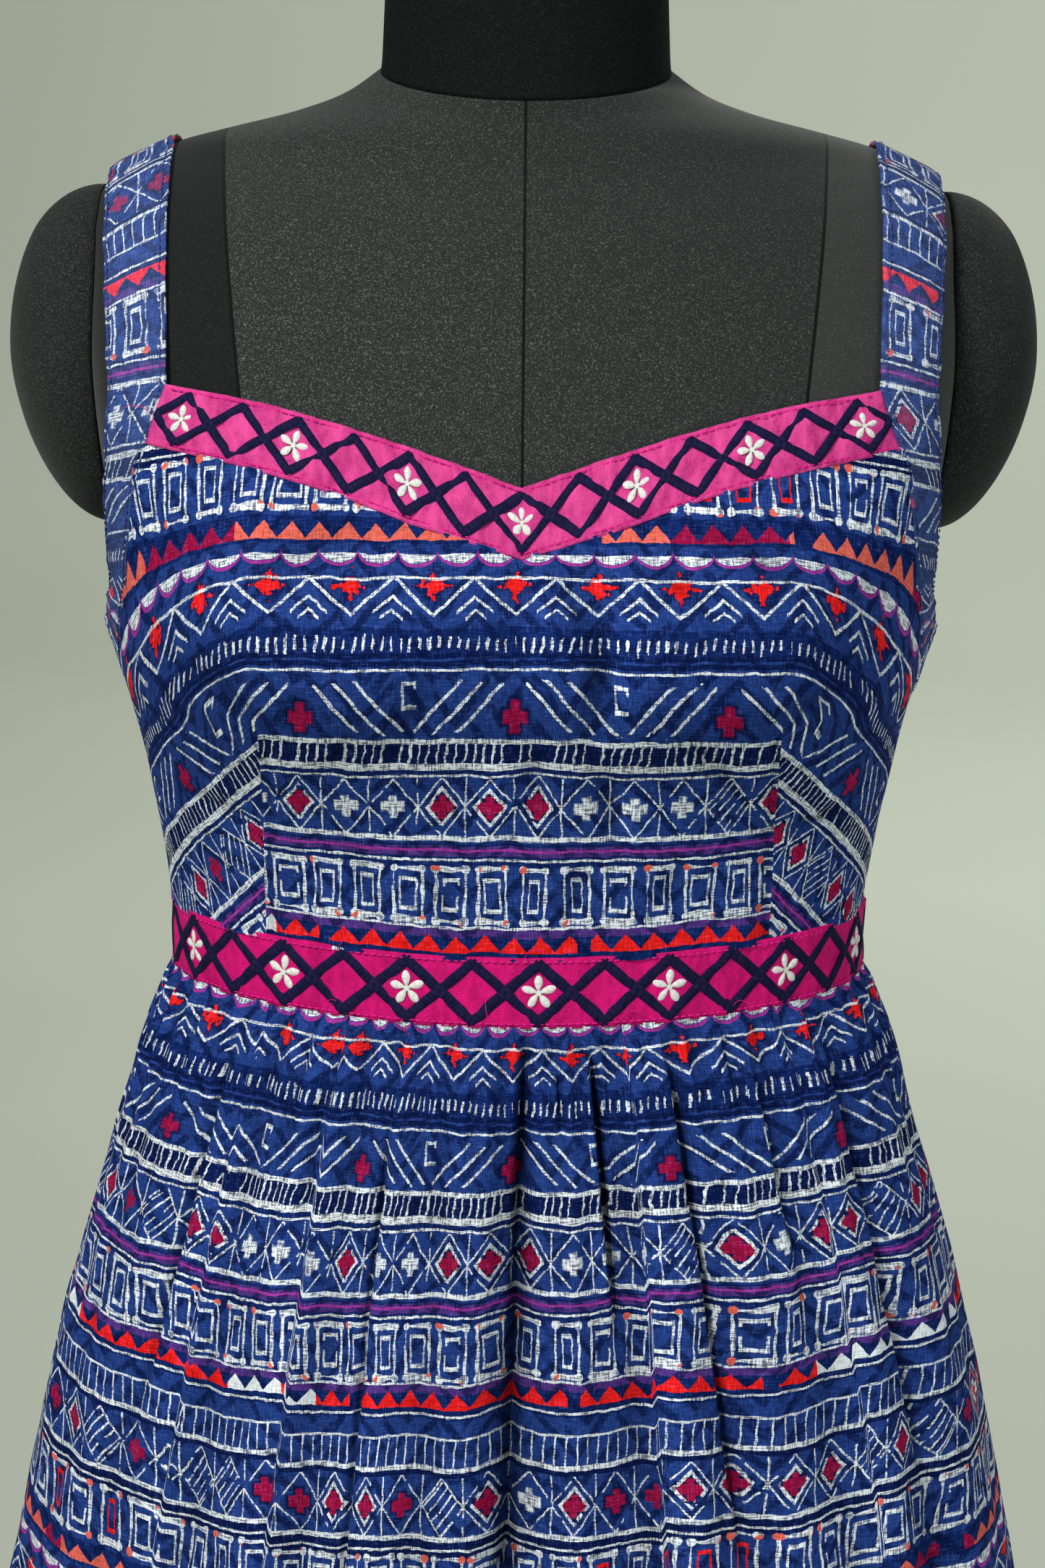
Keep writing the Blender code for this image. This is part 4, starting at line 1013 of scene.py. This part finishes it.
def waistband(name, back, node):
    cols, strips = 260, 14
    angle = (np.linspace(-89.95, 89.95, cols + 1) + (180 if back else 0))[None]
    down = np.linspace(0, 1, strips + 1)[:, None]
    z = WAIST_TOP + (WAIST_BOTTOM - WAIST_TOP) * down + 0 * angle
    pucker = wavy((0.45, 0.62, 1, 0.0), (0.4, 1.07, -2, 1.2), (0.25, 2.3, 2, 0.5))(angle, down)
    pucker = pucker * (0.35 + 0.65 * down)
    stitch = -0.0005 * bell(down - 0.94, 0.03) - 0.0005 * bell(down - 0.05, 0.03)
    p = cloth(angle + 0 * z, lifted(angle, z), BAND + 0.0009 * pucker + stitch)
    uv = 1000 * np.stack([along(p), np.broadcast_to(down * 0.0305, z.shape)], -1)
    made = grid_piece(name, p, uv)
    thicken(made, 0.0014)
    return finish_piece(made, PINK_SHADED, "band_cotton", node)


# Skirt

def fold_depth(angle, z):
    drop = WAIST_BOTTOM - z
    share = np.clip(drop / (WAIST_BOTTOM - HEM), 0, 1)
    opened = step(0, GATHER_START, drop)
    depth = 0.0
    for place, near, far, at_waist, at_hem, _ in FOLDS:
        apart = (angle - place + 180) % 360 - 180
        spread = np.where(apart < 0, near, far)
        shape = np.where(np.abs(apart) < spread * 1.6, np.cos(math.pi * apart / spread / 3.2) ** 2, 0)
        depth = depth + shape * (at_waist + (at_hem - at_waist) * share ** 1.2) * opened
    turn = np.radians(angle)
    wave = turn + 0.012 * np.sin(5 * turn + 1) + 0.008 * np.sin(11 * turn)
    uneven = 0.75 + 0.25 * np.sin(9 * turn + 0.7)
    gather = (0.5 + 0.5 * np.cos(GATHERS * wave)) * np.exp(-drop / GATHER_FADE)
    return depth + GATHER_DEPTH * uneven * gather * (0.35 + 0.65 * opened)


def skirt(name, back, node, rows, cols):
    share = np.linspace(0, 1, rows)
    z = (SKIRT_TOP - (SKIRT_TOP - HEM) * (0.35 * share + 0.65 * share ** 1.6))[:, None]
    angle = (np.linspace(-89.97, 89.97, cols + 1) + (180 if back else 0))[None]
    z, angle = np.broadcast_arrays(z, angle)
    drop = np.maximum(WAIST_BOTTOM - z, 0)
    turn = np.radians(angle)
    r = radius(skirt_curve(z), angle)
    lift = lifted(angle, z)
    base = np.stack([r * np.sin(turn), -r * np.cos(turn), lift], -1)
    small = wavy((0.5, 107, 0, 0.4), (0.4, 151, 4, 2.0), (0.35, 83, -5, 1.0))(turn, z)
    crinkle = wavy((0.4, 31, 60, 0.2), (0.4, 47, -90, 1.7), (0.3, 23, 140, 0.6))(turn, z)
    r = r + fold_depth(angle, z) + 0.0008 * small * np.exp(-drop / 0.05) * step(0, 0.006, drop)
    r = r + 0.0007 * crinkle * step(0, 0.05, drop) + CLOTH
    for place, wide, strong, begins, ends, sweep in PLEATS:
        line = bell(angle - place - sweep * drop, wide)
        r = r - strong * line * step(begins, begins + 0.025, drop) * (1 - step(ends * 0.6, ends, drop))
    p = np.stack([r * np.sin(turn), -r * np.cos(turn), lift], -1)
    down = np.linalg.norm(np.diff(base, axis=0), axis=2)
    # valleys lie inside the mean of 4.5 degrees to each side; they get painted shade and the ridges painted
    # highlight
    reach = max(4, int(cols * 4.5 / 180))
    padded = np.pad(r, ((0, 0), (reach, reach)), mode="edge")
    total = np.cumsum(np.pad(padded, ((0, 0), (1, 0))), axis=1)
    mean = (total[:, 2 * reach + 1:] - total[:, :-2 * reach - 1]) / (2 * reach + 1)
    painted_fold_shading = np.clip((mean - r) / 0.0062, -0.25, 1.0)
    # painted shade down the middle of the front, where its broad valley lies, and fainter over the whole
    # front
    shaded = bell(angle - 1 + 10 * drop, 7.5) * step(0.03, 0.10, drop)
    painted_fold_shading = np.clip(painted_fold_shading + (0.34 * shaded + 0.16 * bell(angle, 40)) * (not back), -0.25, 1.0)
    v = 1000 * np.concatenate([np.zeros((1, angle.shape[1])), np.cumsum(down, axis=0)])
    width = np.maximum(1.0, radius(skirt_curve(z), 0 * angle + 45) / radius(skirt_curve(0.89), 45.0))
    u = (angle - (180 if back else 0)) / 90 * 252 * width
    sway = 2.0 * wavy((0.5, 3, 0, 1.0), (0.3, 7, 0, 0.3), (0.25, 13, 0, 2.0))(turn, z)
    shift = 0.0
    for place, near, far, _, _, jump in FOLDS:
        edge = place + (0.6 * far if jump > 0 else -0.6 * near)
        shift = shift - jump * (step(edge - 0.3, edge + 0.3, angle) - step(edge, edge + 22, angle))
    uv = np.stack([u + 2.4 * shift, v + 0.6 + (sway + shift) * step(0.02, 0.12, drop)], -1)
    made = grid_piece(name, p, uv)
    paint_fold_shading(made, painted_fold_shading)
    return finish_piece(made, PRINT, "printed_cotton", node)


front, back = bodice_front(), bodice_back()
left, *_ = strap("strap_left_cloth", -1, "strap_left")
right, strap_angle, strap_z = strap("strap_right_cloth", 1, "strap_right")
collar = neck_band()
belt_front = waistband("waistband_front_cloth", False, "waistband_front")
belt_back = waistband("waistband_back_cloth", True, "waistband_back")
skirt_front = skirt("skirt_front_cloth", False, "skirt_front", 166, 580)
skirt_back = skirt("skirt_back_cloth", True, "skirt_back", 130, 300)

# Embroidery

def ribbon_rows(line, surface_at, width, height, lanes=5):
    """Rows of a raised ribbon of stitches along a line of (s, t) places on a band."""
    line = np.array(line, float)
    d = np.gradient(line, axis=0)
    d /= np.linalg.norm(d, axis=1, keepdims=True)
    side = np.stack([-d[:, 1], d[:, 0]], 1)
    rows = []
    for k in np.linspace(-1, 1, lanes):
        st = line + side * k * width / 2
        rows.append(surface_at(st[:, 0], st[:, 1], height * math.sqrt(max(0.0, 1 - k * k * 0.96))))
    return np.array(rows)


def on_waist(back):
    """A function from (along, up) in metres on the waistband to a place in space."""
    a = np.linspace(-95, 95, 600)
    line = cloth(a + (180 if back else 0), np.full(600, WAIST_MIDDLE), BAND)
    run = running(line)
    run -= run[300]

    def place(s, t, out):
        angle = np.interp(s, run, a) + (180 if back else 0)
        z = WAIST_BOTTOM + WAIST_HALF + t
        return cloth(angle, lifted(angle, z), BAND + out)
    return place, run


def on_neck():
    """A function from (along, up) in metres on the neckline band to a place in space."""
    share = np.linspace(-1, 1, 801)
    high, low = neck_curve(np.abs(share))
    z = (high + low) / 2
    x = np.abs(share) * (STRAP_EDGES[5][1] + STRAP_EDGES[3][1]) / 2
    angle = np.copysign(angle_at(x, z), share)
    line = cloth(angle, z, BAND)
    run = running(line)
    run -= run[400]

    def place(s, t, out):
        angle, z = neck_band_place(np.interp(s, run, share), 0.5 - t / NECK_BAND_HEIGHT)
        return cloth(angle, z, BAND + out)
    return place, run


class Stitches:
    """Many small raised pieces of thread, joined into one mesh."""

    def __init__(self):
        self.verts, self.faces, self.uv, self.count = [], [], [], 0

    def add(self, rows, length_mm, width_mm):
        n, m = rows.shape[:2]
        self.verts.append(rows.reshape(-1, 3))
        faces = grid_faces(n, m) + self.count
        self.faces.append(faces)
        j, i = np.meshgrid(np.linspace(0, length_mm, m), np.linspace(0, width_mm, n))
        flat = np.stack([i, j], -1).reshape(-1, 2)
        self.uv.append(flat[(faces - self.count).ravel()])
        self.count += n * m

    def piece(self, name, mat, slot):
        made = new_piece(name, np.concatenate(self.verts), np.concatenate(self.faces),
                         np.concatenate(self.uv))
        return finish_piece(made, mat, slot)


def trellis(navy, white, place, middle, reach, cell, tall, width, size):
    """Two crossing zigzags that make a row of diamonds, with a flower in every other one."""
    first, last = -int((reach + middle) / cell) - 1, int((reach - middle) / cell) + 1
    for k in range(first, last + 1):
        centre = middle + k * cell
        for side in (-1, 1):
            if abs(centre + side * cell / 2) > reach or abs(centre) > reach:
                continue
            for up in (-1, 1):
                t = np.linspace(-0.05, 1.05, 10)
                wave = 0.00012 * np.sin(t * 9 + 5 * k + side)
                line = np.stack([centre + side * cell / 2 * t, up * tall / 2 * (1 - t) + wave], 1)
                uneven = width * (1 + 0.05 * math.sin(3.0 * k + up))
                navy.add(ribbon_rows(line, place, uneven, 0.0010), 16, 3.6)
        if k % 2 == 0 and abs(centre) < reach - 0.3 * cell:
            flower(white, place, centre, 0.0, size, 5, math.pi / 2 + 0.15 * math.sin(5.0 * k))


def flower(white, place, s0, t0, size, petals, turn):
    for k in range(petals):
        a = turn + 2 * math.pi * k / petals
        t = np.linspace(0, 1, 9)
        reach = size * (0.08 + 0.92 * t)
        swell = size * 0.235 * np.sin(math.pi * np.clip(0.04 + 0.90 * t ** 1.35, 0, 1)) ** 0.7
        rise = np.sin(math.pi * np.clip(t * 0.9 + 0.08, 0, 1)) ** 0.5
        rows = []
        for lane in np.linspace(-1, 1, 5):
            s = s0 + reach * math.cos(a) - swell * lane * math.sin(a)
            h = t0 + reach * math.sin(a) + swell * lane * math.cos(a)
            rows.append(place(s, h, 0.0010 * math.sqrt(max(0.0, 1 - 0.96 * lane * lane)) * rise))
        white.add(np.array(rows), 7, 3)
    ring = np.linspace(0, 2 * math.pi, 9)
    rows = [place(s0 + q * size * np.cos(ring), t0 + q * size * np.sin(ring), np.full(9, 0.0009 * (1 - q)))
            for q in (0.16, 0.08, 0.001)]
    white.add(np.array(rows), 3, 3)


def embroidery():
    for back in (False, True):
        navy, white = Stitches(), Stitches()
        place, run = on_waist(back)
        reach = float(np.interp(89.4, np.linspace(-95, 95, 600), run))
        trellis(navy, white, place, 0.0085, reach, 0.0276, 0.0252, 0.0046, 0.0076)
        tag = "back" if back else "front"
        navy.piece("waist_trellis_" + tag, NAVY_THREAD, "band_cotton")
        white.piece("waist_flowers_" + tag, WHITE_THREAD, "band_cotton")
    navy, white = Stitches(), Stitches()
    place, run = on_neck()
    reach = float(run[-1]) - 0.0005
    trellis(navy, white, place, 0.0, reach, reach / 6.5, 0.0212, 0.0037, 0.0064)
    navy.piece("neck_trellis", NAVY_THREAD, "band_cotton")
    white.piece("neck_flowers", WHITE_THREAD, "band_cotton")


def topstitch(stitches, line, surface_at, wide=0.0007, long=0.0024, gap=0.0008):
    """Short raised stitches along a line of places in a flat pair of coordinates."""
    p = surface_at(line[:, 0], line[:, 1], 0.0)
    run = running(p)
    for begin in np.arange(gap, run[-1] - long, long + gap):
        at = begin + long * np.linspace(0, 1, 4)
        a, b = np.interp(at, run, line[:, 0]), np.interp(at, run, line[:, 1])
        p = surface_at(a, b, 0.0)
        n = outward(a, b)
        ahead = np.gradient(p, axis=0)
        side = np.cross(n, ahead / np.linalg.norm(ahead, axis=1, keepdims=True))
        high = 0.0006 * np.array([0.1, 1.0, 1.0, 0.1])[:, None] * n
        stitches.add(np.array([p - side * wide / 2, p + high, p + side * wide / 2]), 2, 1)


def seams():
    pink, blue, loose = Stitches(), Stitches(), Stitches()
    a = np.linspace(-89, 89, 500)
    for turn in (0, 180):
        for height in (WAIST_TOP - 0.0018, WAIST_BOTTOM + 0.0018):
            line = np.stack([a + turn, np.full(500, height)], 1)
            topstitch(pink, line, lambda a, z, out: cloth(a, lifted(a, z), BAND + 0.0002 + out))
    share = np.linspace(-0.985, 0.985, 400)
    for down in (0.06, 0.93):
        line = np.stack(neck_band_place(share, down), 1)
        topstitch(pink, line, lambda a, z, out: cloth(a, z, BAND + 0.0002 + out))
    pink.piece("band_topstitch", PINK_THREAD, "band_cotton")
    for lane in (1, 13):
        line = np.stack([strap_angle[lane], strap_z[lane]], 1)[::2]
        for side in (-1, 1):
            def on_strap(a, z, _, side=side):
                p = cloth(a, z, CLOTH + 0.0004)
                p[..., 0] *= side
                return p

            topstitch(blue, line[: len(line) // 2 + 4], on_strap)
    blue.piece("strap_topstitch", BLUE_THREAD, "printed_cotton")
    # loose ends of thread: angle, height, length, lean in degrees, curl
    for angle, height, length, lean, curl in (
            (-4.0, 1.0060, 0.020, -70.0, 5.0), (6.5, 1.0380, 0.016, -40.0, -6.0),
            (22.0, 1.0070, 0.014, 20.0, 5.0), (-38.0, 1.0365, 0.012, 60.0, -5.0),
            (-62.0, 1.2610, 0.012, 50.0, 6.0), (-40.0, 1.0070, 0.010, -30.0, 7.0),
            (48.0, 1.0060, 0.012, 10.0, -7.0)):
        t = np.linspace(0, 1, 14)
        bend = math.radians(lean) + curl * 0.35 * t
        reach = length / 14 * np.cumsum(np.stack([np.sin(bend), np.cos(bend)]), axis=1)
        a, z = angle + np.degrees(reach[0] / 0.14), height + reach[1]
        p = cloth(a, lifted(a, z), BAND + 0.0016 + 0.0006 * np.sin(t * 7))
        across = 0.00013 * np.stack([np.cos(bend), 0 * bend, -np.sin(bend)], 1)
        loose.add(np.array([p - across, p + outward(a, z) * 0.0002, p + across]), 12, 1)
    loose.piece("loose_threads", PINK_THREAD, "band_cotton")


embroidery()
seams()

# Stage

def stage():
    mat, surface, n = shader("studio_wall", 0.95)
    mottle = n.noise(n.own_place(), 0.6, 2.0)
    n.put(surface.inputs["Base Color"], n.mix(mottle, (0.53, 0.575, 0.49), (0.61, 0.65, 0.565)))
    t = np.linspace(0, math.pi / 2, 24)
    half, bend_y, bend, height = 10.0, 7.0, 3.0, 8.0
    profile = [(-half, 0.0), (bend_y, 0.0)]
    profile += [(bend_y + bend * math.sin(a), bend - bend * math.cos(a)) for a in t[1:]]
    profile.append((bend_y + bend, height))
    verts = [(x, y, z) for y, z in profile for x in (-half, half)]
    faces = [(2 * i, 2 * i + 1, 2 * i + 3, 2 * i + 2) for i in range(len(profile) - 1)]
    mesh = bpy.data.meshes.new("studio_wall")
    mesh.from_pydata(verts, [], faces)
    mesh.polygons.foreach_set("use_smooth", [True] * len(faces))
    mesh.materials.append(mat)
    wall = bpy.data.objects.new("studio_wall", mesh)
    bpy.context.scene.collection.objects.link(wall)
    wall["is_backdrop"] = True


def lamp(name, place, aim, size, power, colour=(1, 1, 1)):
    data = bpy.data.lights.new(name, "AREA")
    data.size, data.energy, data.color = size, power, colour
    made = bpy.data.objects.new(name, data)
    made.location = place
    made.rotation_euler = (Vector(aim) - Vector(place)).to_track_quat("-Z", "Y").to_euler()
    bpy.context.scene.collection.objects.link(made)


def camera():
    data = bpy.data.cameras.new("camera")
    data.sensor_width, data.lens = 36.0, 84.6
    data.clip_start, data.clip_end = 0.05, 50
    data.shift_x = 0.002
    made = bpy.data.objects.new("camera", data)
    pitch, roll = math.radians(11.0), math.radians(0.55)
    made.matrix_world = (Matrix.Translation(Vector((SHIFT[0], SHIFT[1] - 1.6, 1.4)))
                         @ Matrix.Rotation(math.pi / 2 - pitch, 4, "X") @ Matrix.Rotation(roll, 4, "Z"))
    bpy.context.scene.collection.objects.link(made)
    bpy.context.scene.camera = made


stage()
lamp("key", (-1.25, -1.75, 2.80), (0, 0, 1.05), 0.6, 74, (1.0, 0.985, 0.95))
lamp("front", (1.7, -2.2, 1.5), (0, 0, 0.95), 1.4, 24, (0.97, 0.985, 1.0))
lamp("back_wall", (2.5, 4.2, 5.0), (0.8, 7.6, 0.4), 3.0, 230, (1.0, 0.985, 0.93))
world = bpy.data.worlds.new("studio")
world.use_nodes = True
world.node_tree.nodes["Background"].inputs[0].default_value = (0.88, 0.92, 0.90, 1)
world.node_tree.nodes["Background"].inputs[1].default_value = 0.27
bpy.context.scene.world = world
bpy.context.scene.view_settings.view_transform = "Standard"
camera()

boxes = [[list(map(float, corner)) for corner in pair] for pair in (CAD_BOX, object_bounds())]
